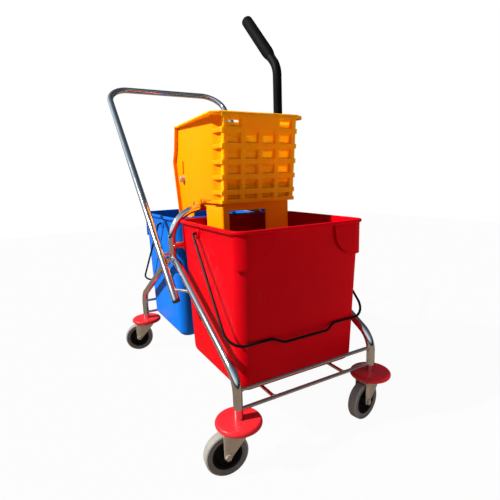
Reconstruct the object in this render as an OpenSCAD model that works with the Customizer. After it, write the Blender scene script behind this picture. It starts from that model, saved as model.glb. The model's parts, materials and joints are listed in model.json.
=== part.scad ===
// Double mop bucket trolley: a chromed tube frame on four swivel castors carries two lift-out
// buckets, a lever wringer saddled on the middle hoop and a sloping push handle.
// X runs to the right, Y from the red front end to the blue rear end, Z up from the floor.
// All lengths are millimetres.

/* [Buckets] */
// Outside width of a bucket over its rim
bucket_w = 338; // [322:1:346]
// Outside length of a bucket over its rim
bucket_l = 326; // [290:1:360]
// Height of a bucket from base to rim
bucket_h = 345; // [305:1:385]
// Gap between the two rims under the hoop
bucket_gap = 24; // [22:0.5:34]
// Width lost on each side between rim and base
taper_x = 5; // [2:0.5:10]
// Length lost at each end between rim and base
taper_y = 18; // [10:0.5:26]
// Radius of the upright corners
bucket_corner_r = 37; // [30:1:46]
// Thickness of the moulded wall
bucket_wall = 3; // [2.4:0.1:4]
// Thickness of the moulded floor
bucket_floor = 3.5; // [2.5:0.1:5]
// How far the rolled rim stands out from the wall
lip_out = 8; // [6:0.5:10]
// Height of the rolled rim
lip_h = 7; // [5:0.5:12]
// Height of the corner skirts under the rim
skirt_h = 70; // [40:1:80]
// How far the corner skirts stand out from the wall
skirt_out = 4; // [2.5:0.5:5.5]
// Length of a corner skirt along the end wall
skirt_l = 62; // [50:1:80]
// How far a corner skirt reaches round its corner
skirt_wrap = 26; // [20:1:34]

/* [Bails] */
// Diameter of the bail wire
wire_d = 5.6; // [4.5:0.1:6.5]
// Distance from pivot to the cross run of the bail
bail_reach = 281; // [265:1:300]
// How far the hand grip stands out past the cross run
grip_step = 13; // [8:0.5:18]
// Half the length of the stepped hand grip
grip_half = 57; // [45:1:70]
// How far the arms spread outwards down to the cross run
bail_splay = 11; // [6:0.5:14]
// Bend radius at the stepped hand grip
bail_bend_r = 18; // [12:1:26]
// Bend radius between arm and cross run
bail_corner_r = 38; // [24:1:48]
// Distance of the pivot from the bucket centre, towards the hoop
pivot_offset = 41; // [20:1:55]
// Depth of the pivot below the rim
pivot_below = 23; // [18:0.5:28]
// Diameter of the pivot boss
boss_d = 24; // [18:0.5:28]
// How far the pivot boss stands out past the bucket wall
boss_out = 4; // [3:0.5:5]

/* [Frame] */
// Outer diameter of the frame tube
tube_d = 19; // [17:0.5:21]
// Wall thickness of the frame tube
tube_wall = 1.5; // [1:0.1:2]
// Gap between bucket rim and leg centreline, sideways
side_gap = 11; // [10.5:0.5:24]
// Gap between bucket rim and leg centreline, lengthways
end_gap = 5; // [3:0.5:14]
// Height where the two sloping runs of a side tube would meet
apex_z = 389; // [372:1:402]
// Height where a sloping run would meet the leg
shoulder_z = 194; // [187:1:203]
// Bend radius at the apex of a side tube
apex_bend_r = 100; // [80:1:130]
// Bend radius above a leg
leg_bend_r = 57; // [45:1:65]
// Height of the hoop bar above the bucket rims
hoop_rise = 24; // [21:0.5:36]
// Bend radius of the hoop
hoop_bend_r = 80; // [60:1:95]
// Depth of the hoop cross tube below the hoop bar
cross_drop = 92; // [80:1:98]
// Diameter of the welded rods
rod_d = 8; // [6:0.5:10]
// Height of the lower cross bars
lower_bar_z = 129; // [125:0.5:135]
// Height of the upper cross bars
upper_bar_z = 170; // [163:0.5:177]
// Distance between the two cradle rods
cradle_span = 190; // [140:1:230]

/* [Handle] */
// Gap between leg centreline and handle centreline
handle_gap = 31; // [28:0.5:42]
// Lengthways place of the lower ends, in front of the hoop
handle_low_y = 97; // [88:1:112]
// Height of the lower ends
handle_low_z = 294; // [285:1:307]
// Lengthways place of the grip bar, behind the hoop
handle_top_y = 509; // [480:1:530]
// Height of the grip bar
handle_top_z = 894; // [857:1:927]
// Bend radius of the handle
handle_bend_r = 72; // [55:1:90]

/* [Castors] */
// Diameter of a bumper disc
bumper_d = 95; // [85:1:105]
// Thickness of a bumper disc
bumper_t = 13; // [10:0.5:15]
// Height of the middle of a bumper disc
bumper_z = 104; // [102.5:0.5:108]
// Diameter of a wheel
wheel_d = 90; // [84:0.5:91]
// Width of a wheel
wheel_w = 22; // [18:0.5:26]
// Diameter of the wheel centre inside the tyre
hub_d = 62; // [53:0.5:69]
// Distance of the axle behind the swivel axis
trail = 29; // [24:0.5:34]
// Thickness of the fork plate
fork_t = 2.5; // [2:0.1:3.5]
// Gap between wheel and fork cheek
fork_gap = 2; // [1.5:0.1:3]
// Diameter of the axle bolt
axle_d = 8; // [6:0.5:10]
// Diameter of the swivel stem
stem_d = 10; // [8:0.5:11]
// Length of the swivel stem above the fork
stem_l = 44; // [34:1:52]

/* [Wringer] */
// Outside width of the wringer over its side plates
wringer_w = 209; // [203:1:214]
// Width of the ribbed front
front_w = 196; // [186:1:200]
// Height of the wringer from saddle to top
wringer_h = 211.5; // [200:0.5:225]
// Height of the saddle pads between hoop bar and wringer
base_rise = 6; // [4:0.5:11]
// Wall thickness of the wringer
wringer_wall = 4.5; // [3.5:0.1:6]
// Front of the wringer at its top, in front of the hoop
front_top_y = 166; // [158:1:174]
// Front of the wringer at its bottom, in front of the hoop
front_low_y = 145; // [141:1:152]
// Rear end of the top flange, behind the hoop
rear_top_y = 115; // [105:1:125]
// Rearmost point of the side plates, behind the hoop
rear_bulge_y = 148; // [140:1:158]
// Depth of the rearmost point below the top
rear_bulge_drop = 95; // [80:1:110]
// Rear end of the bottom of the side plates
rear_low_y = 119; // [110:1:128]
// How far the side plates reach below the saddle
plate_drop = 37; // [20:1:37]
// How far the top flange stands out sideways
flange_out = 22.5; // [14:0.5:24]
// How far the top flange stands out at its rear end
flange_rear_out = 8.5; // [6:0.5:10]
// How far the rear lips of the side plates stand out
rear_lip_out = 9.5; // [6:0.5:14]
// Thickness of the top flange
flange_t = 10; // [7:0.5:12]
// Depth of the stiffening ribs on the front
rib_depth = 8; // [5:0.5:10]
// Thickness of the stiffening ribs
rib_t = 9; // [6:0.5:11]
// Height of the plain band above the ribs
band_h = 33.5; // [28:0.5:38]
// Distance between two level ribs
rib_pitch = 35; // [32:0.5:36]
// How far the ribs wrap round the sides
rib_wrap = 50; // [35:1:60]
// How far the lower frame reaches down into the red bucket
legs_drop = 107; // [80:1:125]
// Front of the lower frame, in front of the hoop
legs_front_y = 132; // [128:0.5:138]
// Width of the narrow leg of the lower frame
narrow_leg_w = 16; // [12:0.5:24]
// Width of the wide leg of the lower frame
wide_leg_w = 68; // [50:1:80]

/* [Mechanism] */
// Distance of the shaft in front of the hoop
shaft_y = 30; // [24:0.5:36]
// Depth of the shaft below the wringer top
shaft_below = 32; // [31:0.5:38]
// Diameter of the drive shaft
shaft_d = 14; // [12:0.5:16]
// Angle at which the stop rod holds the flap open
stop_angle = 46.5; // [42:0.5:50]
// Diameter of the stop rod
stop_d = 10; // [8:0.5:12]
// Thickness of the press flap
flap_t = 6; // [5:0.5:8]
// Thickness of the trough floor
trough_t = 4; // [3:0.5:5]
// Outer diameter of the spring housing
housing_d = 40; // [36:0.5:42]
// Width of the spring housing
housing_w = 15; // [14:0.5:15]

/* [Lever] */
// Distance from the wringer side to the lever centreline
lever_out = 31; // [31:0.5:36]
// Diameter of the lever tube
lever_d = 24; // [22:0.5:24.5]
// Height of the lever knee above the shaft
knee_h = 177; // [150:1:200]
// Lean of the upper lever behind the vertical
knee_angle = 43.5; // [30:0.5:50]
// Bend radius of the lever knee
knee_r = 60; // [50:1:80]
// Length of the lever from knee to end
upper_l = 221; // [205:1:240]
// Diameter of the hand grip
grip_d = 33; // [30:0.5:36]
// Length of the hand grip
grip_l = 158; // [130:1:160]

/* [Hidden] */
$fa = 4;
$fs = 1;
// Radial clearance of a turning fit
run_fit = 0.05;
// Radial clearance of a fixed round fit
set_fit = 0.02;
// Gap left at a welded end
weld_gap = 0.05;
// Gap under a piece that rests by its weight
rest_gap = 0.3;
// Extra radius of a bend over its straights, and how far its lapping ends may sag
lap_fat = 0.1;
lap_sag = 0.02;
// How far a cutting tool reaches past a face
over = 1;
// Facets round the upright bucket corners
corner_fn = 64;
// Height of the thin plates that a tapered shell is drawn between
skin = 0.1;

tube_r = tube_d / 2;
rod_r = rod_d / 2;
wire_r = wire_d / 2;
leg_x = bucket_w / 2 + side_gap;
bucket_y = bucket_gap / 2 + bucket_l / 2;
leg_y = bucket_gap / 2 + bucket_l + end_gap;
bucket_z = lower_bar_z + rod_r + rest_gap;
rim_z = bucket_z + bucket_h;
hoop_z = rim_z + hoop_rise;
cross_z = hoop_z - cross_drop;
slope = atan((apex_z - shoulder_z) / leg_y);
apex_top_z = apex_z - apex_bend_r * (1 / cos(slope) - 1);
handle_x = leg_x + handle_gap;
handle_lean = atan2(handle_top_z - handle_low_z, handle_top_y + handle_low_y);
handle_l = norm([handle_top_y + handle_low_y, handle_top_z - handle_low_z]);
spacer_z = handle_low_z + handle_low_y * tan(handle_lean);
plug_head = 3;
plug_l = 22;
low_spacer_y = handle_low_y - 23;
low_spacer_z = handle_low_z + (handle_low_y - low_spacer_y) * tan(handle_lean);
low_tube_y = (apex_z - low_spacer_z) / tan(slope);
y_shift = (leg_y + bumper_d / 2 - handle_top_y - tube_r) / 2;

leg_end_z = bumper_z - bumper_t / 2;
socket_flange = 2;
crown_z = leg_end_z - socket_flange - 2 * rest_gap;
crown_t = 3;
wheel_r = wheel_d / 2;
cheek_y = wheel_w / 2 + fork_gap;
cheek_foot_r = 8;
crown_back = 20;
axle_end = cheek_y + fork_t;
axle_head_t = 4.5;
axle_head_d = 13;

top_half_x = bucket_w / 2 - lip_out;
top_half_y = bucket_l / 2 - lip_out;
low_half_x = top_half_x - taper_x;
low_half_y = top_half_y - taper_y;
pivot_z = rim_z - pivot_below;
wall_slope_y = taper_y / bucket_h;
wall_slope_x = taper_x / bucket_h;
pivot_wall_x = top_half_x - wall_slope_x * pivot_below;
boss_face_x = pivot_wall_x + boss_out;
hook_out = 6;
arm_x = boss_face_x + hook_out + wire_r;
arm_low_x = arm_x + bail_splay;
hook_end_x = pivot_wall_x - bucket_wall / 2 + wire_r / 2;
bail_touch = 0.5;

saddle_z = hoop_z + tube_r + rest_gap;
top_z = saddle_z + wringer_h;
plate_x = wringer_w / 2;
inner_x = plate_x - wringer_wall;
front_half = front_w / 2;
shaft_z = top_z - shaft_below;
shaft_r = shaft_d / 2;
base_z = saddle_z + base_rise;
trough_out_r = shaft_z - base_z;
trough_in_r = trough_out_r - trough_t;
flap_l = trough_in_r - 2;
stop_r = flap_l - 3;
flap_rest = stop_angle - asin((flap_t / 2 + stop_d / 2 + rest_gap) / stop_r);
stop_y = -shaft_y + stop_r * sin(stop_angle);
stop_z = shaft_z - stop_r * cos(stop_angle);
rear_gap_y = bucket_gap / 2 + lip_out + bucket_wall + 5;
front_gap_y = rear_gap_y + 5;
lug_drop = 6;
flange_chamfer = 16;
front_lean = (front_top_y - front_low_y) / wringer_h;
low_rib_h = 9;
rib_rows = 5;
rib_cols = 4;
lever_x = plate_x + lever_out;
lever_r = lever_d / 2;
hub_w = 26;
bolt_head = 3;
hub_r = 18;
socket_r = lever_r + 3.5;
socket_l = 46;
bolt_z = socket_l - 11;
lever_low = 24;
bush_r = shaft_r + 3;

chrome = [0.82, 0.83, 0.85];
zinc = [0.72, 0.72, 0.7];
red = [0.85, 0.05, 0.08];
blue = [0.05, 0.35, 0.85];
yellow = [1, 0.75, 0.05];
black = [0.08, 0.08, 0.09];
grey = [0.5, 0.5, 0.5];
coral = [0.95, 0.2, 0.22];

corner_names = ["front_left", "front_right", "rear_left", "rear_right"];
corner_side = [-1, 1, -1, 1];
corner_end = [-1, -1, 1, 1];
// Rest angle of each castor: the way its wheel trails, turned about Z from +X
corner_turn = [173, 190, 168, 0];

// Flat path of a side tube, as lengthways place and height
side_path = [
    [-leg_y, leg_end_z],
    [-leg_y, shoulder_z],
    [0, apex_z],
    [leg_y, shoulder_z],
    [leg_y, leg_end_z]
];
side_bends = [0, leg_bend_r, apex_bend_r, leg_bend_r, 0];
// Flat path of the hoop, as sideways place and height
hoop_path = [[-leg_x, apex_top_z], [-leg_x, hoop_z], [leg_x, hoop_z], [leg_x, apex_top_z]];
hoop_bends = [0, hoop_bend_r, hoop_bend_r, 0];
// Flat path of the handle, as sideways place and distance up its slope
handle_path = [[-handle_x, 0], [-handle_x, handle_l], [handle_x, handle_l], [handle_x, 0]];
handle_bends = [0, handle_bend_r, handle_bend_r, 0];
// Flat path of a bail, as sideways place and distance from the pivot
bail_path = [
    [-hook_end_x, 0],
    [-arm_x, 0],
    [-arm_low_x, bail_reach],
    [-grip_half - 2 * grip_step, bail_reach],
    [-grip_half, bail_reach + grip_step],
    [grip_half, bail_reach + grip_step],
    [grip_half + 2 * grip_step, bail_reach],
    [arm_low_x, bail_reach],
    [arm_x, 0],
    [hook_end_x, 0]
];
hook_bend_r = wire_d;
bail_bends = [
    0, hook_bend_r, bail_corner_r, bail_bend_r, bail_bend_r,
    bail_bend_r, bail_bend_r, bail_corner_r, hook_bend_r, 0
];
// Flat path of the lever, as lengthways place and height from the shaft
lever_path = [
    [0, lever_low],
    [0, knee_h],
    [upper_l * sin(knee_angle), knee_h + upper_l * cos(knee_angle)]
];
lever_bends = [0, knee_r, 0];

function unit(v) = v / norm(v);
function turn_of(a, b) = acos(min(1, max(-1, a * b)));
function side_of(a, b) = a.x * b.y - a.y * b.x < 0 ? -1 : 1;
function lengthened(p, d) = [
    for (i = [0 : len(p) - 1])
        i == 0 ? p[0] + d * unit(p[0] - p[1]) :
        i == len(p) - 1 ? p[i] + d * unit(p[i] - p[i - 1]) :
        p[i]
];
// Angle below the horizontal at which a bail hangs on its bucket's end wall
function hang_angle() =
    let (
        wall_at_pivot = top_half_y - wall_slope_y * pivot_below,
        room = wall_at_pivot + wire_r + bail_touch + pivot_offset
    )
    atan(wall_slope_y)
    + acos(min(1, room / (bail_reach * sqrt(1 + wall_slope_y * wall_slope_y))));
// Front face of the ribbed wringer wall at a height above the saddle
function front_at(h) = -front_low_y - front_lean * h;

// Straight round rod between two points of the XY plane
module straight(p, q, r) {
    translate([p.x, p.y, 0])
    rotate([0, 0, atan2(q.y - p.y, q.x - p.x)])
    rotate([0, 90, 0])
    cylinder(h = norm(q - p), r = r);
}

// Round bend at point p between two directions of the XY plane. It is a hair thicker than the
// straights and laps over their ends, so that they join into one solid.
module bend(p, before, after, bend_r, r) {
    turn = turn_of(before, after);
    side = side_of(before, after);
    start = p - before * bend_r * tan(turn / 2);
    centre = start + side * bend_r * [-before.y, before.x];
    from = atan2(start.y - centre.y, start.x - centre.x);
    lap = acos(1 - lap_sag / bend_r);
    translate([centre.x, centre.y, 0])
    rotate([0, 0, (side > 0 ? from : from - turn) - lap])
    rotate_extrude(angle = turn + 2 * lap)
    translate([bend_r, 0])
    circle(r = r + lap_fat);
}

// Solid rod along a flat path in the XY plane, with its corners bent
module bent_rod(path, bends, r) {
    last = len(path) - 1;
    dirs = [for (i = [0 : last - 1]) unit(path[i + 1] - path[i])];
    cuts = [
        for (i = [0 : last])
            i == 0 || i == last ? 0 : bends[i] * tan(turn_of(dirs[i - 1], dirs[i]) / 2)
    ];
    for (i = [0 : last - 1])
        straight(path[i] + dirs[i] * cuts[i], path[i + 1] - dirs[i] * cuts[i + 1], r);
    for (i = [1 : last - 1])
        bend(path[i], dirs[i - 1], dirs[i], bends[i], r);
}

// Hollow tube along a flat path, open at both ends
module bent_tube(path, bends, r, wall) {
    difference() {
        bent_rod(path, bends, r);
        bent_rod(lengthened(path, over), bends, r - wall);
    }
}

// Puts a flat path of lengthways place and height at a sideways place
module upright_at(x) {
    translate([x, 0, 0])
    rotate([90, 0, 90])
    children();
}

// Round bar along X between two sideways places
module bar_x(x0, x1, y, z, r) {
    translate([x0, y, z])
    rotate([0, 90, 0])
    cylinder(h = x1 - x0, r = r);
}

// Side tube as a solid, used to cut what is welded to it
module side_solid(side, r) {
    upright_at(side * leg_x)
    bent_rod(side_path, side_bends, r);
}

// Leans a flat path of sideways place and slope length onto the handle plane
module on_handle_plane() {
    translate([0, -handle_low_y, handle_low_z])
    rotate([handle_lean, 0, 0])
    children();
}

// Bent side tube: two legs joined over a low apex
module side_tube(side) {
    color(chrome)
    upright_at(side * leg_x)
    bent_tube(side_path, side_bends, tube_r, tube_wall);
}

// Hoop over the apexes, which carries the wringer
module hoop_tube() {
    color(chrome)
    difference() {
        rotate([90, 0, 0])
        bent_tube(hoop_path, hoop_bends, tube_r, tube_wall);
        for (side = [-1, 1])
            side_solid(side, tube_r + weld_gap);
    }
}

// Cross tube between the hoop legs
module hoop_cross_tube() {
    color(chrome)
    difference() {
        bar_x(-leg_x, leg_x, 0, cross_z, tube_r);
        bar_x(-leg_x, leg_x, 0, cross_z, tube_r - tube_wall);
        rotate([90, 0, 0])
        bent_rod(hoop_path, hoop_bends, tube_r + weld_gap);
    }
}

// Welded cross bar between the legs at one end
module cross_bar(end, z) {
    color(chrome)
    difference() {
        bar_x(-leg_x, leg_x, end * leg_y, z, rod_r);
        for (side = [-1, 1])
            side_solid(side, tube_r + weld_gap);
    }
}

// Lengthways rod that the buckets stand on
module cradle_rod(side) {
    color(chrome)
    difference() {
        translate([side * cradle_span / 2, -leg_y, lower_bar_z])
        rotate([-90, 0, 0])
        cylinder(h = 2 * leg_y, r = rod_r);
        for (end = [-1, 1])
            bar_x(-leg_x, leg_x, end * leg_y, lower_bar_z, rod_r + weld_gap);
    }
}

// Push handle, one wide bend
module handle_tube() {
    color(chrome)
    on_handle_plane()
    bent_tube(handle_path, handle_bends, tube_r, tube_wall);
}

// Plastic plugs that close the lower ends of the handle
module handle_end_plugs() {
    color(black)
    on_handle_plane()
    for (side = [-1, 1])
        translate([side * handle_x, 0, 0])
        rotate([-90, 0, 0]) {
            translate([0, 0, -plug_head])
            cylinder(h = plug_head, r = tube_r);
            cylinder(h = plug_l, r = tube_r - tube_wall - set_fit);
        }
}

// Short rods that hold the handle off the hoop legs and the side tubes
module handle_spacers() {
    low_from = [leg_x, -low_tube_y, low_spacer_z];
    low_to = [handle_x, -low_spacer_y, low_spacer_z];
    low_run = low_to - low_from;
    color(chrome)
    difference() {
        for (side = [-1, 1])
            mirror([side < 0 ? 1 : 0, 0, 0]) {
                bar_x(leg_x, handle_x, 0, spacer_z, rod_r);
                translate(low_from)
                rotate([0, 0, atan2(low_run.y, low_run.x)])
                rotate([0, 90, 0])
                cylinder(h = norm(low_run), r = rod_r);
            }
        on_handle_plane()
        bent_rod(handle_path, handle_bends, tube_r + weld_gap);
        rotate([90, 0, 0])
        bent_rod(hoop_path, hoop_bends, tube_r + weld_gap);
        for (side = [-1, 1])
            side_solid(side, tube_r + weld_gap);
    }
}

// Round-edged bumper disc on a leg
module bumper(i) {
    edge_r = bumper_t / 2;
    color(coral)
    translate([corner_side[i] * leg_x, corner_end[i] * leg_y, bumper_z])
    rotate_extrude()
    difference() {
        union() {
            translate([0, -edge_r])
            square([bumper_d / 2 - edge_r, bumper_t]);
            translate([bumper_d / 2 - edge_r, 0])
            circle(r = edge_r);
        }
        translate([-bumper_d, -bumper_t])
        square([bumper_d + tube_r + set_fit, 2 * bumper_t]);
    }
}

// Plastic sleeves in the leg ends that the castor stems turn in
module castor_sockets() {
    sleeve_r = tube_r - tube_wall - set_fit;
    color(black)
    for (i = [0 : 3])
        translate([corner_side[i] * leg_x, corner_end[i] * leg_y, leg_end_z])
        difference() {
            union() {
                cylinder(h = stem_l, r = sleeve_r);
                translate([0, 0, -socket_flange])
                cylinder(h = socket_flange, r = tube_r);
            }
            translate([0, 0, -socket_flange - over])
            cylinder(h = stem_l + socket_flange + 2 * over, r = stem_d / 2 + run_fit);
        }
}

// Places a castor piece: the swivel axis is Z and the wheel trails along +X
module at_castor(i) {
    translate([corner_side[i] * leg_x, corner_end[i] * leg_y, 0])
    rotate([0, 0, corner_turn[i]])
    children();
}

// Pressed fork with tapered cheeks and its swivel stem
module fork(i) {
    foot_x = trail + cheek_foot_r;
    color(zinc)
    at_castor(i)
    difference() {
        union() {
            for (side = [-1, 1])
                translate([0, side * (cheek_y + fork_t / 2) + fork_t / 2, 0])
                rotate([90, 0, 0])
                linear_extrude(fork_t) {
                    polygon([
                        [-crown_back, crown_z],
                        [-crown_back, crown_z - 8],
                        [trail - cheek_foot_r * 0.7, wheel_r - cheek_foot_r * 0.714],
                        [foot_x, wheel_r],
                        [foot_x, crown_z]
                    ]);
                    translate([trail, wheel_r])
                    circle(r = cheek_foot_r);
                }
            translate([-crown_back, -cheek_y - fork_t, crown_z - crown_t])
            cube([crown_back + foot_x, 2 * (cheek_y + fork_t), crown_t]);
            translate([0, 0, crown_z - crown_t])
            cylinder(h = crown_t + stem_l + socket_flange, r = stem_d / 2);
        }
        translate([trail, axle_end + over, wheel_r])
        rotate([90, 0, 0])
        cylinder(h = 2 * (axle_end + over), r = axle_d / 2 + set_fit);
    }
}

// Axle bolt with its head and nut
module axle(i) {
    color(zinc)
    at_castor(i)
    translate([trail, 0, wheel_r])
    rotate([90, 0, 0]) {
        translate([0, 0, -axle_end])
        cylinder(h = 2 * axle_end, r = axle_d / 2);
        for (z = [-axle_end - axle_head_t, axle_end])
            translate([0, 0, z])
            cylinder(h = axle_head_t, d = axle_head_d, $fn = 6);
    }
}

// Wheel tyre with rounded shoulders
module tyre(i) {
    shoulder = 4;
    half = wheel_w / 2;
    color(grey)
    at_castor(i)
    translate([trail, 0, wheel_r])
    rotate([90, 0, 0])
    rotate_extrude()
    difference() {
        union() {
            translate([0, -half])
            square([wheel_r - shoulder, wheel_w]);
            translate([0, -half + shoulder])
            square([wheel_r, wheel_w - 2 * shoulder]);
            for (side = [-1, 1])
                translate([wheel_r - shoulder, side * (half - shoulder)])
                circle(r = shoulder);
        }
        translate([-wheel_d, -wheel_w])
        square([wheel_d + hub_d / 2, 2 * wheel_w]);
    }
}

// Wheel centre with a dished web and a long bore
module wheel_hub(i) {
    rim_t = 4;
    web_t = 6;
    boss_r = axle_d / 2 + 7;
    color(black)
    at_castor(i)
    translate([trail, 0, wheel_r])
    rotate([90, 0, 0])
    rotate_extrude()
    difference() {
        union() {
            translate([0, -web_t / 2])
            square([hub_d / 2 - rim_t, web_t]);
            translate([0, -wheel_w / 2 - 1])
            square([boss_r, wheel_w + 2]);
            translate([hub_d / 2 - rim_t, -wheel_w / 2 + 1])
            square([rim_t - set_fit, wheel_w - 2]);
        }
        translate([-hub_d, -wheel_w])
        square([hub_d + axle_d / 2 + run_fit, 2 * wheel_w]);
    }
}

// Upright block with four round corners
module round_block(half_x, half_y, r, z, h) {
    translate([-half_x + r, -half_y, z])
    cube([2 * (half_x - r), 2 * half_y, h]);
    translate([-half_x, -half_y + r, z])
    cube([2 * half_x, 2 * (half_y - r), h]);
    for (sx = [-1, 1])
        for (sy = [-1, 1])
            translate([sx * (half_x - r), sy * (half_y - r), z])
            cylinder(h = h, r = r);
}

// Tapered bucket form, shrunk on all sides by inset and raised by floor_up
module tapered_form(inset, floor_up, top_up) {
    r = bucket_corner_r - lip_out - inset;
    up = floor_up / bucket_h;
    low_x = low_half_x + taper_x * up - inset;
    low_y = low_half_y + taper_y * up - inset;
    hull()
        for (sx = [-1, 1])
            for (sy = [-1, 1]) {
                translate([sx * (low_x - r), sy * (low_y - r), floor_up])
                cylinder(h = skin, r = r, $fn = corner_fn);
                translate([
                    sx * (top_half_x - inset - r),
                    sy * (top_half_y - inset - r),
                    bucket_h - skin + top_up
                ])
                cylinder(h = skin, r = r, $fn = corner_fn);
            }
}

// Bucket with rolled rim, corner skirts and bored pivot bosses
module bucket(end, paint) {
    lip_x = top_half_x + lip_out;
    lip_y = top_half_y + lip_out;
    color(paint)
    translate([0, end * bucket_y, bucket_z])
    difference() {
        union() {
            tapered_form(0, 0, 0);
            round_block(lip_x, lip_y, bucket_corner_r, bucket_h - lip_h, lip_h);
            intersection() {
                round_block(
                    top_half_x + skirt_out,
                    top_half_y + skirt_out,
                    bucket_corner_r - lip_out + skirt_out,
                    bucket_h - lip_h - skirt_h,
                    skirt_h + lip_h / 2
                );
                for (sx = [-1, 1])
                    for (sy = [-1, 1])
                        translate([
                            sx > 0 ? lip_x - skirt_l : -lip_x,
                            sy > 0 ? lip_y - skirt_wrap : -lip_y,
                            0
                        ])
                        cube([skirt_l, skirt_wrap, bucket_h]);
            }
            for (side = [-1, 1])
                translate([
                    side * (boss_face_x - boss_out * 1.5),
                    -end * pivot_offset,
                    bucket_h - pivot_below
                ])
                rotate([0, side * 90, 0])
                cylinder(h = boss_out * 1.5, r = boss_d / 2);
        }
        tapered_form(bucket_wall, bucket_floor, over);
        for (side = [-1, 1])
            translate([
                side * (pivot_wall_x - 2 * bucket_wall),
                -end * pivot_offset,
                bucket_h - pivot_below
            ])
            rotate([0, side * 90, 0])
            cylinder(h = 2 * bucket_wall + boss_out + over, r = wire_r + run_fit);
    }
}

// Wire bail, hung on its bucket's end wall
module bail(end) {
    pivot_y = end * (bucket_y - pivot_offset);
    hang = hang_angle();
    color(black)
    translate([0, pivot_y, pivot_z])
    rotate([end < 0 ? 180 + hang : -hang, 0, 0])
    bent_rod(bail_path, bail_bends, wire_r);
}

// Wringer body: ribbed front, side plates, top flange, trough and saddle pads
module wringer_body() {
    back = top_z - rear_bulge_drop;
    low = saddle_z - plate_drop;
    rear = [
        [rear_top_y, top_z],
        [rear_top_y + (rear_bulge_y - rear_top_y) / 2, back + 30],
        [rear_bulge_y, back],
        [rear_low_y, low]
    ];
    lip_t = 5;
    low_lip_out = 7;
    skin_t = rib_depth + wringer_wall / 2;
    pad_half = tube_r + rest_gap + lug_drop;
    trough_end = shaft_z - trough_in_r * 0.75;
    trough_front = front_at(trough_end - saddle_z);
    col_pitch = (front_w - rib_t) / rib_cols;
    tip_x = front_half + rib_depth / 2;
    ledge_x = front_half - 10;
    ledge_y = front_at(base_rise) + rib_depth + 1;
    slot_w = 8;
    slot_l = 24;
    slot_pitch_y = 36;
    slot_pitch_x = inner_x * 0.3;
    color(yellow)
    difference() {
        union() {
            for (side = [-1, 1])
                mirror([side < 0 ? 1 : 0, 0, 0]) {
                    // Side plate
                    translate([inner_x, 0, 0])
                    rotate([90, 0, 90])
                    linear_extrude(wringer_wall)
                    polygon(concat(
                        [
                            [rear_gap_y, low],
                            [rear_gap_y, base_z],
                            [front_at(base_rise) + rib_wrap, base_z],
                            [front_at(wringer_h) + rib_wrap, top_z]
                        ],
                        rear
                    ));
                    // Set-back corner between the plate and the front wall
                    intersection() {
                        translate([0, front_at(base_rise), base_z])
                        rotate([atan(front_lean), 0, 0])
                        translate([0, 0, -rib_wrap])
                        linear_extrude(wringer_h + 2 * rib_wrap)
                        polygon([
                            [plate_x - 1, rib_wrap + 5],
                            [front_half - 2.5, rib_depth + 1],
                            [front_half - 2.5 - wringer_wall, rib_depth + 1],
                            [inner_x - 1, rib_wrap + 5]
                        ]);
                        translate([0, -front_top_y, base_z])
                        cube([plate_x, front_top_y, wringer_h - base_rise - flange_t / 2]);
                    }
                    // Bottom ledge over the lower frame
                    translate([ledge_x, ledge_y, base_z])
                    cube([front_half + 3 - ledge_x, -front_gap_y - ledge_y, wringer_wall]);
                    // Lips along its rear edge and its lower edge
                    translate([inner_x + 1, 0, 0])
                    rotate([90, 0, 90])
                    linear_extrude(wringer_wall + rear_lip_out - 1)
                    polygon(concat(rear, [for (k = [3 : -1 : 0]) rear[k] - [lip_t, 0]]));
                    translate([inner_x + 1, rear_gap_y, low])
                    cube([wringer_wall + low_lip_out - 1, rear_low_y - rear_gap_y - 1, lip_t]);
                    // Saddle pad on the hoop bar, with a lug on each side of it
                    translate([inner_x, -pad_half, saddle_z])
                    cube([wringer_wall, 2 * pad_half, base_rise + over]);
                    for (y = [-pad_half, pad_half - lug_drop])
                        translate([inner_x, y, saddle_z - lug_drop])
                        cube([wringer_wall, lug_drop, lug_drop + over]);
                }
            // Front wall
            translate([-front_half, 0, 0])
            rotate([90, 0, 90])
            linear_extrude(front_w)
            polygon([
                [front_at(base_rise) + rib_depth, base_z],
                [front_at(base_rise) + rib_depth + wringer_wall, base_z],
                [front_at(wringer_h) + rib_depth + wringer_wall, top_z],
                [front_at(wringer_h) + rib_depth, top_z]
            ]);
            // Level ribs that wrap round onto the sides
            for (k = [0 : rib_rows]) {
                h = k == rib_rows ? base_rise : wringer_h - band_h - k * rib_pitch - rib_t;
                translate([0, 0, saddle_z + h])
                linear_extrude(k == rib_rows ? low_rib_h : rib_t)
                polygon([
                    [-tip_x, front_at(h)],
                    [tip_x, front_at(h)],
                    [tip_x, front_at(h) + rib_depth],
                    [plate_x - 1, front_at(h) + rib_wrap + 3],
                    [plate_x - 3, front_at(h) + rib_wrap + 3],
                    [front_half - 5, front_at(h) + skin_t],
                    [-front_half + 5, front_at(h) + skin_t],
                    [-plate_x + 3, front_at(h) + rib_wrap + 3],
                    [-plate_x + 1, front_at(h) + rib_wrap + 3],
                    [-tip_x, front_at(h) + rib_depth]
                ]);
            }
            // Upright ribs
            for (k = [0 : rib_cols])
                translate([-front_half + k * col_pitch, 0, 0])
                rotate([90, 0, 90])
                linear_extrude(rib_t)
                polygon([
                    [front_at(base_rise), base_z],
                    [front_at(base_rise) + skin_t, base_z],
                    [front_at(wringer_h) + skin_t, top_z],
                    [front_at(wringer_h), top_z]
                ]);
            // Plain top band between two end pockets
            translate([-front_half + col_pitch, 0, 0])
            rotate([90, 0, 90])
            linear_extrude(front_w - 2 * col_pitch)
            polygon([
                [front_at(wringer_h - band_h), top_z - band_h],
                [front_at(wringer_h - band_h) + skin_t, top_z - band_h],
                [front_at(wringer_h) + skin_t, top_z],
                [front_at(wringer_h), top_z]
            ]);
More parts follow.
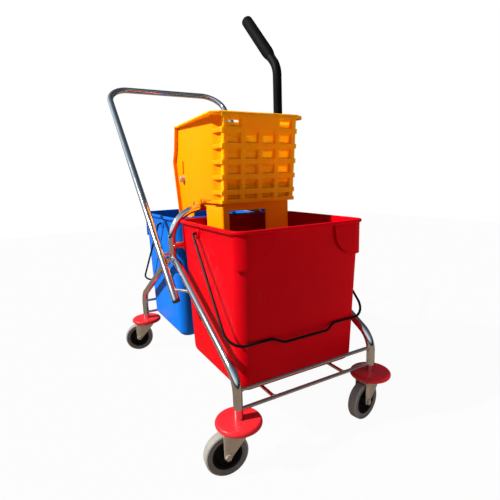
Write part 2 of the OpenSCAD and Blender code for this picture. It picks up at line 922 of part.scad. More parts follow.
            // Top flange round the mouth
            translate([0, 0, top_z - flange_t])
            linear_extrude(flange_t)
            difference() {
                polygon([
                    [-front_half - 2, -front_top_y],
                    [front_half + 2, -front_top_y],
                    [plate_x + flange_out, -front_top_y + flange_chamfer],
                    [plate_x + flange_rear_out, -front_top_y + rib_wrap],
                    [plate_x + flange_rear_out, rear_top_y],
                    [-plate_x - flange_rear_out, rear_top_y],
                    [-plate_x - flange_out, -front_top_y + flange_chamfer]
                ]);
                translate([-inner_x, -front_top_y + skin_t])
                square([2 * inner_x, front_top_y + rear_top_y - skin_t - 2 * wringer_wall]);
            }
            // Curved trough floor about the shaft, narrower between the set-back corners
            intersection() {
                translate([-inner_x - 1, 0, 0])
                rotate([90, 0, 90])
                linear_extrude(2 * inner_x + 2)
                intersection() {
                    translate([-shaft_y, shaft_z])
                    difference() {
                        circle(r = trough_out_r, $fa = 1);
                        circle(r = trough_in_r, $fa = 1);
                    }
                    polygon([
                        [-shaft_y, shaft_z],
                        [trough_front + skin_t, trough_end],
                        [front_at(0) + skin_t, saddle_z],
                        [rear_low_y, saddle_z],
                        [rear_low_y, trough_end]
                    ]);
                }
                translate([0, 0, saddle_z])
                linear_extrude(wringer_h)
                polygon([
                    [-plate_x, rear_low_y + over],
                    [-plate_x, trough_front + rib_wrap + 20],
                    [-plate_x + 3, trough_front + rib_wrap + 5],
                    [-front_half + 5, trough_front + rib_depth],
                    [front_half - 5, trough_front + rib_depth],
                    [plate_x - 3, trough_front + rib_wrap + 5],
                    [plate_x, trough_front + rib_wrap + 20],
                    [plate_x, rear_low_y + over]
                ]);
            }
            // Inner boss that carries the left shaft end
            bar_x(-inner_x - 1, -inner_x + 12, -shaft_y, shaft_z, shaft_r + 6);
            // Raised pad over the stop rod on each plate
            for (side = [-1, 1])
                translate([side * (plate_x + 1.5) - 2.5, stop_y - 5, stop_z + 16])
                cube([5, 10, 34]);
        }
        // Blind bore of the left shaft end and the bush bore on the right
        bar_x(-inner_x + 2, 0, -shaft_y, shaft_z, shaft_r + run_fit);
        bar_x(0, plate_x + 2 * over, -shaft_y, shaft_z, bush_r + set_fit);
        // Holes for the stop rod
        bar_x(-plate_x - 2 * over, plate_x + 2 * over, stop_y, stop_z, stop_d / 2 + set_fit);
        // Drain slots in the trough
        for (row = [0 : 2])
            for (col = [0 : 5])
                translate([
                    (col - 2.5) * slot_pitch_x - slot_w / 2,
                    -shaft_y - 62 + row * slot_pitch_y,
                    base_z - over
                ])
                cube([slot_w, slot_l, 40]);
    }
}

// Lower frame that hangs in the red bucket and keeps the wringer level
module wringer_legs() {
    half = front_half - 5;
    wall = wringer_wall;
    low = saddle_z - legs_drop;
    window_top = 9;
    color(yellow)
    difference() {
        translate([-half, -legs_front_y, low])
        cube([2 * half, legs_front_y - front_gap_y, base_z - low]);
        translate([-half + wall, -legs_front_y + wall, low - over])
        cube([2 * (half - wall), legs_front_y, base_z - low + 2 * over]);
        translate([-half + narrow_leg_w, -legs_front_y - over, low - over])
        cube([
            2 * half - narrow_leg_w - wide_leg_w,
            wall + 2 * over,
            legs_drop - window_top + over
        ]);
    }
}

// Cross rod that stops the flap
module stop_rod() {
    reach = plate_x + 12;
    color(zinc)
    bar_x(-reach, reach, stop_y, stop_z, stop_d / 2);
}

// Washers and nuts on the two ends of the stop rod
module stop_rod_nuts() {
    washer_t = 1.5;
    nut_t = 8;
    color(zinc)
    for (side = [-1, 1])
        mirror([side < 0 ? 1 : 0, 0, 0])
        difference() {
            union() {
                bar_x(plate_x, plate_x + washer_t, stop_y, stop_z, stop_d);
                translate([plate_x + washer_t, stop_y, stop_z])
                rotate([0, 90, 0])
                cylinder(h = nut_t, d = stop_d * 1.8, $fn = 6);
            }
            bar_x(0, plate_x + washer_t + nut_t + over, stop_y, stop_z, stop_d / 2 + set_fit);
        }
}

// Plain bush that carries the right shaft end
module shaft_bush() {
    flange = 2;
    color(black)
    difference() {
        union() {
            bar_x(inner_x, plate_x, -shaft_y, shaft_z, bush_r);
            bar_x(plate_x, plate_x + flange, -shaft_y, shaft_z, bush_r + 3);
        }
        bar_x(0, plate_x + 2 * flange, -shaft_y, shaft_z, shaft_r + run_fit);
    }
}

// Cup over the return spring on the right plate
module spring_housing() {
    wall = 2;
    color(black)
    difference() {
        bar_x(plate_x, plate_x + housing_w, -shaft_y, shaft_z, housing_d / 2);
        bar_x(0, plate_x + housing_w - wall, -shaft_y, shaft_z, housing_d / 2 - wall);
        bar_x(0, plate_x + housing_w + over, -shaft_y, shaft_z, shaft_r + 0.5);
    }
}

// Return spring, drawn as a row of closed coils
module return_spring() {
    coil_r = 1.4;
    coils = 4;
    first = plate_x + rest_gap;
    color(zinc)
    for (k = [0 : coils - 1])
        translate([first + 3 * k + coil_r, -shaft_y, shaft_z])
        rotate([0, 90, 0])
        rotate_extrude()
        translate([housing_d / 2 - 5, 0])
        circle(r = coil_r);
}

// Places a piece on the shaft axis at the shaft height
module at_shaft() {
    translate([0, -shaft_y, shaft_z])
    children();
}

// Drive shaft through the wringer
module drive_shaft() {
    color(zinc)
    bar_x(-inner_x + 2.5, lever_x + hub_w / 2, -shaft_y, shaft_z, shaft_r);
}

// Press flap keyed on the shaft, with grip ridges on its front
module press_flap() {
    half = inner_x - 3;
    sleeve_r = shaft_r + 5;
    sleeve_from = -inner_x + 13.5;
    ridge = 3;
    ridges = 6;
    ridge_pitch = (flap_l - 40) / ridges;
    color(yellow)
    at_shaft()
    rotate([flap_rest, 0, 0])
    difference() {
        union() {
            bar_x(sleeve_from, half, 0, 0, sleeve_r);
            translate([-half, -flap_t / 2, -flap_l])
            cube([2 * half, flap_t, flap_l - shaft_r - 8]);
            translate([sleeve_from, -flap_t / 2, -shaft_r - 10])
            cube([half - sleeve_from, flap_t, 10]);
            for (k = [0 : ridges - 1])
                translate([-half, -flap_t / 2 - ridge, -flap_l + 6 + k * ridge_pitch])
                cube([2 * half, ridge + 1, 5]);
        }
        bar_x(-plate_x, plate_x, 0, 0, shaft_r + set_fit);
    }
}

// Lever hub on the shaft with the socket of the lever tube
module lever_hub() {
    color(black)
    at_shaft()
    difference() {
        union() {
            bar_x(lever_x - hub_w / 2, lever_x + hub_w / 2, 0, 0, hub_r);
            translate([lever_x, 0, 0])
            cylinder(h = socket_l, r = socket_r);
        }
        bar_x(lever_x - hub_w, lever_x + hub_w, 0, 0, shaft_r + set_fit);
        translate([lever_x, 0, lever_low])
        cylinder(h = socket_l, r = lever_r + set_fit);
        bar_x(lever_x - hub_w, lever_x + hub_w, 0, bolt_z, 3 + set_fit);
    }
}

// Bolt that pins the lever tube in its socket
module lever_bolt() {
    color(zinc)
    at_shaft()
    translate([lever_x, 0, bolt_z])
    rotate([0, 90, 0]) {
        translate([0, 0, -socket_r])
        cylinder(h = 2 * socket_r, r = 3);
        for (x = [-socket_r - bolt_head, socket_r])
            translate([0, 0, x])
            cylinder(h = bolt_head, d = 11, $fn = 6);
    }
}

// Bent lever tube
module lever_tube() {
    color(black)
    at_shaft()
    difference() {
        upright_at(lever_x)
        bent_tube(lever_path, lever_bends, lever_r, tube_wall);
        bar_x(lever_x - hub_w, lever_x + hub_w, 0, bolt_z, 3 + set_fit);
    }
}

// Closed rubber grip on the end of the lever
module lever_grip() {
    cap = 5;
    color(black)
    at_shaft()
    translate([lever_x, 0, knee_h])
    rotate([-knee_angle, 0, 0])
    difference() {
        translate([0, 0, upper_l - grip_l])
        cylinder(h = grip_l + cap, r = grip_d / 2);
        translate([0, 0, upper_l - grip_l - over])
        cylinder(h = grip_l + over, r = lever_r + set_fit);
    }
}

// Moves a piece so that the origin lies under the middle of the trolley
module placed() {
    translate([0, y_shift, 0])
    children();
}

castor_kinds = ["bumper", "fork", "axle", "tyre", "wheel_hub"];

placed() side_tube(-1);  // left_side_tube
placed() side_tube(1);  // right_side_tube
placed() hoop_tube();
placed() hoop_cross_tube();
placed() cross_bar(-1, upper_bar_z);  // front_upper_bar
placed() cross_bar(-1, lower_bar_z);  // front_lower_bar
placed() cross_bar(1, upper_bar_z);  // rear_upper_bar
placed() cross_bar(1, lower_bar_z);  // rear_lower_bar
placed() cradle_rod(-1);  // left_cradle_rod
placed() cradle_rod(1);  // right_cradle_rod
placed() handle_tube();
placed() handle_end_plugs();
placed() handle_spacers();
placed() castor_sockets();
placed() bucket(-1, red);  // red_bucket
placed() bucket(1, blue);  // blue_bucket
placed() bail(-1);  // red_bail
placed() bail(1);  // blue_bail
placed() wringer_body();
placed() wringer_legs();
placed() stop_rod();
placed() stop_rod_nuts();
placed() shaft_bush();
placed() spring_housing();
placed() return_spring();
placed() drive_shaft();
placed() press_flap();
placed() lever_hub();
placed() lever_bolt();
placed() lever_tube();
placed() lever_grip();
for (i = [0 : 3]) {
    placed() bumper(i);
    placed() fork(i);
    placed() axle(i);
    placed() tyre(i);
    placed() wheel_hub(i);
}
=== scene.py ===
import json
import math

import bmesh
import bpy
from mathutils import Matrix, Vector


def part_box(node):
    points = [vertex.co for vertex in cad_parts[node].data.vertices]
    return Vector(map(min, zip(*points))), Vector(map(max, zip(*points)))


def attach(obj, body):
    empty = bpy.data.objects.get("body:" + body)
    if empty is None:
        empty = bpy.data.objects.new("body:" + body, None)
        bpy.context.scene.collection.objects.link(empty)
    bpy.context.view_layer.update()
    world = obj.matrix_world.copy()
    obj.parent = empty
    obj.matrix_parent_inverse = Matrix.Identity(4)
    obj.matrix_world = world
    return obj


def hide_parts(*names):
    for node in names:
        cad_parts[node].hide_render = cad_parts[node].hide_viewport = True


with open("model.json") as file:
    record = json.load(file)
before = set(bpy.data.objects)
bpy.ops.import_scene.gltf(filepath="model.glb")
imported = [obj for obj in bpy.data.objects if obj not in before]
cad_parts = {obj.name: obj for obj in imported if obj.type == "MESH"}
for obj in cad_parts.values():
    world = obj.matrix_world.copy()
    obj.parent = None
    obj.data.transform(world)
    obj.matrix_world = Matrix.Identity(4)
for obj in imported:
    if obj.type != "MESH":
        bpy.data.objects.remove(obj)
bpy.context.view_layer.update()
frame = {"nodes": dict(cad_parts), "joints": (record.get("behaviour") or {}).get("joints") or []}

# Studio: a pale floor under clear sunlight from the left, a soft sky and a soft panel low on the
# right, with the camera where the photograph was taken. Of the two cards just over the floor, one
# is seen by polished metal alone, and the other throws light up at the object.
MM = 0.001
scene = bpy.context.scene
scene.view_settings.view_transform = "Standard"
camera_place = Vector((-489.2, -1028.8, 576.6)) * MM
camera_yaw = math.radians(29.206)
camera_pitch = math.radians(10.530)
camera_roll = math.radians(1.892)
ahead = Vector((
    math.sin(camera_yaw) * math.cos(camera_pitch),
    math.cos(camera_yaw) * math.cos(camera_pitch),
    -math.sin(camera_pitch),
))
level_right = Vector((math.cos(camera_yaw), -math.sin(camera_yaw), 0))
level_down = ahead.cross(level_right)
to_right = level_right * math.cos(camera_roll) + level_down * math.sin(camera_roll)
to_down = level_down * math.cos(camera_roll) - level_right * math.sin(camera_roll)
camera_data = bpy.data.cameras.new("camera")
camera_data.sensor_width = 36
camera_data.lens = 27.98
camera = bpy.data.objects.new("camera", camera_data)
camera.matrix_world = Matrix((
    (to_right.x, -to_down.x, -ahead.x, camera_place.x),
    (to_right.y, -to_down.y, -ahead.y, camera_place.y),
    (to_right.z, -to_down.z, -ahead.z, camera_place.z),
    (0, 0, 0, 1),
))
scene.collection.objects.link(camera)
scene.camera = camera

sun_from = Vector((-0.74, 0.18, 0.65))
sun_data = bpy.data.lights.new("sun", "SUN")
sun_data.energy = 7.6
sun_data.angle = math.radians(1.5)
sun_data.color = (1.0, 0.97, 0.92)
sun = bpy.data.objects.new("sun", sun_data)
sun.rotation_euler = sun_from.to_track_quat("Z", "Y").to_euler()
scene.collection.objects.link(sun)

# Soft panel low on the right, so that the front grows lighter toward that side
panel_data = bpy.data.lights.new("panel", "AREA")
panel_data.shape = "RECTANGLE"
panel_data.size = 0.3
panel_data.size_y = 0.4
panel_data.energy = 1.5
panel_data.color = (1.0, 0.96, 0.92)
panel_place = Vector((0.52, -0.78, 0.32))
panel_aim = Vector((0.1, -0.35, 0.40))
panel = bpy.data.objects.new("panel", panel_data)
panel.location = panel_place
panel.rotation_euler = (panel_place - panel_aim).to_track_quat("Z", "Y").to_euler()
panel.visible_camera = False
panel.visible_glossy = False
scene.collection.objects.link(panel)


def set_inputs(target, **values):
    """Sets inputs of a node by their names, with underscores for spaces."""
    for label, value in values.items():
        target.inputs[label.replace("_", " ")].default_value = value


def new_node(tree, kind, **values):
    """A new node of a tree, with values on its inputs."""
    made = tree.nodes.new(kind)
    set_inputs(made, **values)
    return made


def link_all(tree, pairs):
    """Links outputs of a tree's nodes to inputs."""
    for source, target in pairs:
        tree.links.new(source, target)


sky = bpy.data.worlds.new("sky")
sky.use_nodes = True
scene.world = sky
sky_tree = sky.node_tree
sky_tree.nodes.clear()
sky_height = new_node(sky_tree, "ShaderNodeMapRange", From_Min=-1)


def sky_ramp(bands):
    """Colours of the sky, each at its height from straight below, 0, to straight above, 1."""
    ramp = new_node(sky_tree, "ShaderNodeValToRGB")
    while len(ramp.color_ramp.elements) < len(bands):
        ramp.color_ramp.elements.new(0.5)
    for stop, (height, tint) in zip(ramp.color_ramp.elements, bands):
        stop.position = height
        stop.color = (*tint, 1)
    sky_tree.links.new(sky_height.outputs["Result"], ramp.inputs["Fac"])
    return ramp.outputs["Color"]


open_bands = [
    (0.00, (0.50, 0.40, 0.32)), (0.49, (0.50, 0.42, 0.36)),
    (0.53, (0.80, 0.88, 1.00)), (1.00, (0.80, 0.95, 1.25)),
]
mirror_bands = [
    (0.00, (0.20, 0.16, 0.12)), (0.47, (0.24, 0.19, 0.15)),
    (0.50, (0.02, 0.02, 0.02)), (0.56, (0.05, 0.05, 0.05)),
    (0.60, (0.40, 0.44, 0.48)), (0.68, (0.72, 0.80, 0.88)),
    (0.80, (0.42, 0.51, 0.60)), (1.00, (0.14, 0.18, 0.22)),
]
sky_place = new_node(sky_tree, "ShaderNodeTexCoord")
sky_axes = new_node(sky_tree, "ShaderNodeSeparateXYZ")
soft_sky = new_node(sky_tree, "ShaderNodeBackground", Strength=0.30)
mirror_sky = new_node(sky_tree, "ShaderNodeBackground")
white_wall = new_node(sky_tree, "ShaderNodeBackground", Color=(1, 1, 1, 1))
# Polished metal sees a brighter sky on the left than on the right
sky_side = new_node(
    sky_tree, "ShaderNodeMapRange", From_Min=0.45, From_Max=-0.50, To_Min=0.15, To_Max=1.2
)
sky_ray = new_node(sky_tree, "ShaderNodeLightPath")
sky_light = new_node(sky_tree, "ShaderNodeMixShader")
sky_mix = new_node(sky_tree, "ShaderNodeMixShader")
sky_out = new_node(sky_tree, "ShaderNodeOutputWorld")
link_all(sky_tree, [
    (sky_place.outputs["Generated"], sky_axes.inputs[0]),
    (sky_axes.outputs["Z"], sky_height.inputs["Value"]),
    (sky_axes.outputs["X"], sky_side.inputs["Value"]),
    (sky_ramp(open_bands), soft_sky.inputs["Color"]),
    (sky_ramp(mirror_bands), mirror_sky.inputs["Color"]),
    (sky_side.outputs["Result"], mirror_sky.inputs["Strength"]),
    (sky_ray.outputs["Is Glossy Ray"], sky_light.inputs[0]),
    (soft_sky.outputs[0], sky_light.inputs[1]),
    (mirror_sky.outputs[0], sky_light.inputs[2]),
    (sky_ray.outputs["Is Camera Ray"], sky_mix.inputs[0]),
    (sky_light.outputs[0], sky_mix.inputs[1]),
    (white_wall.outputs[0], sky_mix.inputs[2]),
    (sky_mix.outputs[0], sky_out.inputs["Surface"]),
])

stage_half = 4.0
floor_glow = 80.0
card_height = 1 * MM
bounce_height = 2 * MM


def stage_plane(name, height, colour, glow):
    """A level square of one colour, which isn't part of the object."""
    mesh = bpy.data.meshes.new(name)
    square = ((-1, -1), (1, -1), (1, 1), (-1, 1))
    mesh.from_pydata([(stage_half * x, stage_half * y, height) for x, y in square], [], [(0, 1, 2, 3)])
    paint = bpy.data.materials.new(name)
    paint.use_nodes = True
    set_inputs(
        paint.node_tree.nodes["Principled BSDF"], Base_Color=(*colour, 1), Roughness=0.9,
        Specular_IOR_Level=0.0, Emission_Color=(*colour, 1), Emission_Strength=glow,
    )
    mesh.materials.append(paint)
    plane = bpy.data.objects.new(name, mesh)
    scene.collection.objects.link(plane)
    return plane


floor = stage_plane("floor", 0.0, (0.012, 0.012, 0.012), floor_glow)
floor.visible_diffuse = False
card = stage_plane("warm_card", card_height, (0.17, 0.13, 0.10), 0.0)
card.visible_camera = False
card.visible_shadow = False
card.visible_diffuse = False
bounce = stage_plane("bounce_card", bounce_height, (0.38, 0.31, 0.25), 0.0)
bounce.visible_camera = False
bounce.visible_glossy = False
bounce.visible_shadow = False

# Tube frame: chromed steel tube and rod, cold bent and welded. The two side tubes, the hoop, the
# cross tube, the end bars, the cradle rods and the push handle keep the shapes of the frame.
chrome_nodes = [
    "left_side_tube", "right_side_tube", "hoop_tube", "hoop_cross_tube",
    "front_upper_bar", "front_lower_bar", "rear_upper_bar", "rear_lower_bar",
    "left_cradle_rod", "right_cradle_rod", "handle_tube", "handle_spacers",
]


def middle_of(node, axis):
    """Middle of a node of the frame along one axis, in millimetres."""
    low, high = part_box(node)
    return (getattr(low, axis) + getattr(high, axis)) / 2 / MM


hoop_y = middle_of("hoop_tube", "y")


def shader_group(name, inputs, outputs):
    """An empty shader node group with its named inputs and outputs."""
    group = bpy.data.node_groups.new(name, "ShaderNodeTree")
    for label, start in inputs:
        socket = group.interface.new_socket(label, in_out="INPUT", socket_type="NodeSocketFloat")
        socket.default_value = start
    for label in outputs:
        group.interface.new_socket(label, in_out="OUTPUT", socket_type="NodeSocketFloat")
    return group, group.nodes.new("NodeGroupInput"), group.nodes.new("NodeGroupOutput")


def noise_in(group, vector, scale, detail):
    """Noise in a group, from 0 to 1."""
    noise = new_node(group, "ShaderNodeTexNoise", Detail=detail)
    link_all(group, [(vector, noise.inputs["Vector"]), (scale, noise.inputs["Scale"])])
    return noise.outputs["Fac"]


def stretch_in(group, value, low, high):
    """A value in a group stretched so that low gives 0 and high gives 1."""
    ramp = new_node(group, "ShaderNodeMapRange", From_Min=low, From_Max=high)
    group.links.new(value, ramp.inputs["Value"])
    return ramp.outputs["Result"]


def multiply_in(group, first, second):
    """The product of two values in a group."""
    product = new_node(group, "ShaderNodeMath")
    product.operation = "MULTIPLY"
    link_all(group, [(first, product.inputs[0]), (second, product.inputs[1])])
    return product.outputs[0]


# Slow colour drift and fine grain that every finish has
surface_skin, skin_in, skin_out = shader_group(
    "surface_skin", [("Drift Scale", 8), ("Grain Scale", 900)], ["Drift", "Grain"]
)
skin_place = surface_skin.nodes.new("ShaderNodeTexCoord").outputs["Object"]
drift = noise_in(surface_skin, skin_place, skin_in.outputs["Drift Scale"], detail=4)
grain = noise_in(surface_skin, skin_place, skin_in.outputs["Grain Scale"], detail=2)
surface_skin.links.new(stretch_in(surface_skin, drift, low=0.3, high=0.7), skin_out.inputs["Drift"])
surface_skin.links.new(grain, skin_out.inputs["Grain"])

# Thin sparse rubs and scratches from use
rub_marks, rub_in, rub_out = shader_group("rub_marks", [("Scale", 20), ("Amount", 0.5)], ["Mask"])
rub_place = rub_marks.nodes.new("ShaderNodeTexCoord").outputs["Object"]
rub_turn = new_node(rub_marks, "ShaderNodeMapping", Rotation=(0.5, 0.9, 0.3), Scale=(9.0, 1.0, 0.7))
rub_marks.links.new(rub_place, rub_turn.inputs["Vector"])
streaks = noise_in(rub_marks, rub_turn.outputs[0], rub_in.outputs["Scale"], detail=5)
patches = noise_in(rub_marks, rub_place, rub_in.outputs["Scale"], detail=1)
thin_streaks = stretch_in(rub_marks, streaks, low=0.62, high=0.72)
few_patches = stretch_in(rub_marks, patches, low=0.5, high=0.62)
rub_where = multiply_in(rub_marks, thin_streaks, few_patches)
rub_mask = multiply_in(rub_marks, rub_where, rub_in.outputs["Amount"])
rub_marks.links.new(rub_mask, rub_out.inputs["Mask"])

# Dust and splash marks that gather near the floor
floor_dust, dust_in, dust_out = shader_group("floor_dust", [("Height", 0.12), ("Amount", 0.5)], ["Mask"])
dust_place = floor_dust.nodes.new("ShaderNodeTexCoord").outputs["Object"]
dust_axes = new_node(floor_dust, "ShaderNodeSeparateXYZ")
dust_fall = new_node(floor_dust, "ShaderNodeMapRange", To_Min=1, To_Max=0)
dust_spots = new_node(floor_dust, "ShaderNodeTexNoise", Scale=60, Detail=6)
link_all(floor_dust, [
    (dust_place, dust_axes.inputs[0]),
    (dust_axes.outputs["Z"], dust_fall.inputs["Value"]),
    (dust_in.outputs["Height"], dust_fall.inputs["From Max"]),
    (dust_place, dust_spots.inputs["Vector"]),
])
loose_spots = stretch_in(floor_dust, dust_spots.outputs["Fac"], low=0.35, high=0.75)
dust_where = multiply_in(floor_dust, dust_fall.outputs["Result"], loose_spots)
dust_mask = multiply_in(floor_dust, dust_where, dust_in.outputs["Amount"])
floor_dust.links.new(dust_mask, dust_out.inputs["Mask"])
grain_depth = 0.4 * MM


def finish(name, colour, drift_to, rough, drift_scale, grain_scale, bump, rubs=None, dust=None, **plain):
    """One finish: colour that drifts, roughness between two values, fine grain, rubs and dust.

    Rubs are given by their scale, amount and tint, and dust by its height, amount and tint.
    """
    material = bpy.data.materials.new(name)
    material.use_nodes = True
    tree = material.node_tree
    shader = tree.nodes["Principled BSDF"]
    set_inputs(shader, **plain)
    skin = new_node(tree, "ShaderNodeGroup")
    skin.node_tree = surface_skin
    set_inputs(skin, Drift_Scale=drift_scale, Grain_Scale=grain_scale)

    def tinted(under, mask, tint):
        mix = new_node(tree, "ShaderNodeMix")
        mix.data_type = "RGBA"
        tree.links.new(mask, mix.inputs["Factor"])
        if under is None:
            mix.inputs["A"].default_value = (*colour, 1)
        else:
            tree.links.new(under, mix.inputs["A"])
        mix.inputs["B"].default_value = (*tint, 1)
        return mix.outputs["Result"]

    shade = tinted(None, skin.outputs["Drift"], drift_to)
    for group, spec in ((rub_marks, rubs), (floor_dust, dust)):
        if spec:
            size, amount, tint = spec
            marks = new_node(tree, "ShaderNodeGroup")
            marks.node_tree = group
            marks.inputs[0].default_value = size
            marks.inputs["Amount"].default_value = amount
            shade = tinted(shade, marks.outputs["Mask"], tint)
    polish = new_node(tree, "ShaderNodeMapRange", To_Min=rough[0], To_Max=rough[1])
    relief = new_node(tree, "ShaderNodeBump", Strength=bump, Distance=grain_depth)
    link_all(tree, [
        (shade, shader.inputs["Base Color"]),
        (skin.outputs["Drift"], polish.inputs["Value"]),
        (polish.outputs["Result"], shader.inputs["Roughness"]),
        (skin.outputs["Grain"], relief.inputs["Height"]),
        (relief.outputs["Normal"], shader.inputs["Normal"]),
    ])
    return material


def wear(node, material):
    """Gives a node of the frame its finish."""
    thing = frame["nodes"][node]
    if not thing.material_slots:
        thing.data.materials.append(material)
    for place in thing.material_slots:
        place.material = material


chrome = finish(
    "chrome", (0.83, 0.84, 0.86), drift_to=(0.72, 0.72, 0.73), rough=(0.05, 0.13),
    drift_scale=22, grain_scale=300, bump=0.04,
    rubs=(45, 0.35, (0.45, 0.44, 0.42)), dust=(0.2, 0.5, (0.36, 0.31, 0.26)), Metallic=1.0,
)
for node in chrome_nodes:
    wear(node, chrome)

# Weld beads: a rippled ring of filler wherever a rod or tube end meets a tube, plated over with it.
# Each ring follows the line where the two round surfaces cross, and a node tree lays the bead.
tube_r = 9.5
rod_r = 4.0


def mm_from_hoop(place_m):
    """A place of the record in millimetres, measured lengthways from the hoop."""
    return Vector(place_m) / MM - Vector((0, hoop_y, 0))


def weld_ring(on_axis, tube_axis, rod_way, rod_radius, tube_radius, count=40):
    """Points where a round rod that leaves on_axis along rod_way comes out of a round tube."""
    tube_axis = Vector(tube_axis).normalized()
    rod_way = Vector(rod_way).normalized()
    across = rod_way.cross(tube_axis).normalized()
    upward = across.cross(rod_way)
    ring = []
    for k in range(count):
        turn = 2 * math.pi * k / count
        spoke = rod_radius * (across * math.cos(turn) + upward * math.sin(turn))
        off = spoke - tube_axis * spoke.dot(tube_axis)
        way = rod_way - tube_axis * rod_way.dot(tube_axis)
        b = off.dot(way)
        c = off.dot(off) - tube_radius * tube_radius
        a = way.dot(way)
        reach = (-b + math.sqrt(max(0.0, b * b - a * c))) / a
        ring.append(Vector(on_axis) + spoke + rod_way * reach)
    return ring


legs = {
    joint["child"].replace("_castor", ""): mm_from_hoop(joint["pos_m"])
    for joint in frame["joints"] if joint["name"].endswith("_swivel")
}
lower_bar_z = middle_of("front_lower_bar", "z")
upper_bar_z = middle_of("front_upper_bar", "z")
cross_z = middle_of("hoop_cross_tube", "z")
hoop_foot_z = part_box("left_side_tube")[1].z / MM - tube_r
cradle_x = middle_of("right_cradle_rod", "x")
rings = []
for corner, leg in legs.items():
    inward = -1 if leg.x > 0 else 1
    for bar_z in (lower_bar_z, upper_bar_z):
        rings.append(weld_ring((leg.x, leg.y, bar_z), (0, 0, 1), (inward, 0, 0), rod_r, tube_r))
    toward_middle = -1 if leg.y > 0 else 1
    rod_x = cradle_x if leg.x > 0 else -cradle_x
    rings.append(weld_ring((rod_x, leg.y, lower_bar_z), (1, 0, 0), (0, toward_middle, 0), rod_r, rod_r))
# The end of a tube is taken a hair thinner than the like tube that it meets, so the surfaces cross
tube_end_r = tube_r - 0.1
leg_x = abs(legs["front_left"].x)
for side in (-1, 1):
    rings.append(weld_ring((side * leg_x, 0, hoop_foot_z), (0, 1, 0), (0, 0, 1), tube_end_r, tube_r))
    rings.append(weld_ring((side * leg_x, 0, cross_z), (0, 0, 1), (-side, 0, 0), tube_end_r, tube_r))

points_per_ripple = 5
bead_tree = bpy.data.node_groups.new("weld_bead", "GeometryNodeTree")
bead_tree.interface.new_socket("Geometry", in_out="INPUT", socket_type="NodeSocketGeometry")
bead_sizes = [("Bead Radius", 1.5 * MM), ("Ripple Step", 0.5 * MM), ("Ripple Share", 0.22)]
bead_sockets = {
    label: bead_tree.interface.new_socket(label, in_out="INPUT", socket_type="NodeSocketFloat").identifier
    for label, size in bead_sizes
}
bead_paint_socket = bead_tree.interface.new_socket(
    "Finish", in_out="INPUT", socket_type="NodeSocketMaterial"
).identifier
bead_tree.interface.new_socket("Geometry", in_out="OUTPUT", socket_type="NodeSocketGeometry")
bead_in = bead_tree.nodes.new("NodeGroupInput")
bead_out = bead_tree.nodes.new("NodeGroupOutput")
to_curve = bead_tree.nodes.new("GeometryNodeMeshToCurve")
even = bead_tree.nodes.new("GeometryNodeResampleCurve")
even.mode = "LENGTH"
index = bead_tree.nodes.new("GeometryNodeInputIndex")
phase = bead_tree.nodes.new("ShaderNodeMath")
phase.operation = "MULTIPLY"
phase.inputs[1].default_value = math.tau / points_per_ripple
wave = bead_tree.nodes.new("ShaderNodeMath")
wave.operation = "SINE"
share = bead_tree.nodes.new("ShaderNodeMath")
share.operation = "MULTIPLY_ADD"
share.inputs[2].default_value = 1
swell = bead_tree.nodes.new("GeometryNodeSetCurveRadius")
profile = bead_tree.nodes.new("GeometryNodeCurvePrimitiveCircle")
profile.inputs["Resolution"].default_value = 8
skin_over = bead_tree.nodes.new("GeometryNodeCurveToMesh")
real = bead_tree.nodes.new("GeometryNodeRealizeInstances")
coat = bead_tree.nodes.new("GeometryNodeSetMaterial")
link_all(bead_tree, [
    (bead_in.outputs["Geometry"], to_curve.inputs["Mesh"]),
    (to_curve.outputs["Curve"], even.inputs["Curve"]),
    (bead_in.outputs["Ripple Step"], even.inputs["Length"]),
    (index.outputs[0], phase.inputs[0]),
    (phase.outputs[0], wave.inputs[0]),
    (wave.outputs[0], share.inputs[0]),
    (bead_in.outputs["Ripple Share"], share.inputs[1]),
    (even.outputs["Curve"], swell.inputs["Curve"]),
    (share.outputs[0], swell.inputs["Radius"]),
    (swell.outputs["Curve"], skin_over.inputs["Curve"]),
    (bead_in.outputs["Bead Radius"], profile.inputs["Radius"]),
    (profile.outputs["Curve"], skin_over.inputs["Profile Curve"]),
    (skin_over.outputs["Mesh"], real.inputs["Geometry"]),
    (real.outputs["Geometry"], coat.inputs["Geometry"]),
    (bead_in.outputs["Finish"], coat.inputs["Material"]),
    (coat.outputs["Geometry"], bead_out.inputs["Geometry"]),
])
plated_weld = finish(
    "plated_weld", (0.70, 0.69, 0.67), drift_to=(0.50, 0.48, 0.45), rough=(0.18, 0.38),
    drift_scale=90, grain_scale=700, bump=0.3,
    dust=(0.2, 0.5, (0.36, 0.31, 0.26)), Metallic=1.0,
)


def grown(name, mesh, tree, settings):
    """Runs a node tree on a mesh and returns an object that holds the plain result."""
    thing = bpy.data.objects.new(name, mesh)
    scene.collection.objects.link(thing)
    growth = thing.modifiers.new(tree.name, "NODES")
    growth.node_group = tree
    for socket, value in settings.items():
        growth[socket] = value
    ready = thing.evaluated_get(bpy.context.evaluated_depsgraph_get())
    result = bpy.data.meshes.new_from_object(ready)
    thing.modifiers.clear()
    thing.data = result
    return thing


def to_metres(mesh):
    """Takes a mesh drawn in millimetres from the hoop to its place in the frame."""
    mesh.transform(Matrix.Scale(MM, 4) @ Matrix.Translation((0, hoop_y, 0)))


ring_points = []
ring_edges = []
for ring in rings:
    first = len(ring_points)
    ring_points += ring
    ring_edges += [(first + k, first + (k + 1) % len(ring)) for k in range(len(ring))]
ring_mesh = bpy.data.meshes.new("weld_lines")
ring_mesh.from_pydata(ring_points, ring_edges, [])
to_metres(ring_mesh)
settings = {bead_sockets[label]: size for label, size in bead_sizes}
settings[bead_paint_socket] = plated_weld
welds = grown("weld_beads", ring_mesh, bead_tree, settings)
welds.data.shade_smooth()
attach(welds, "frame")

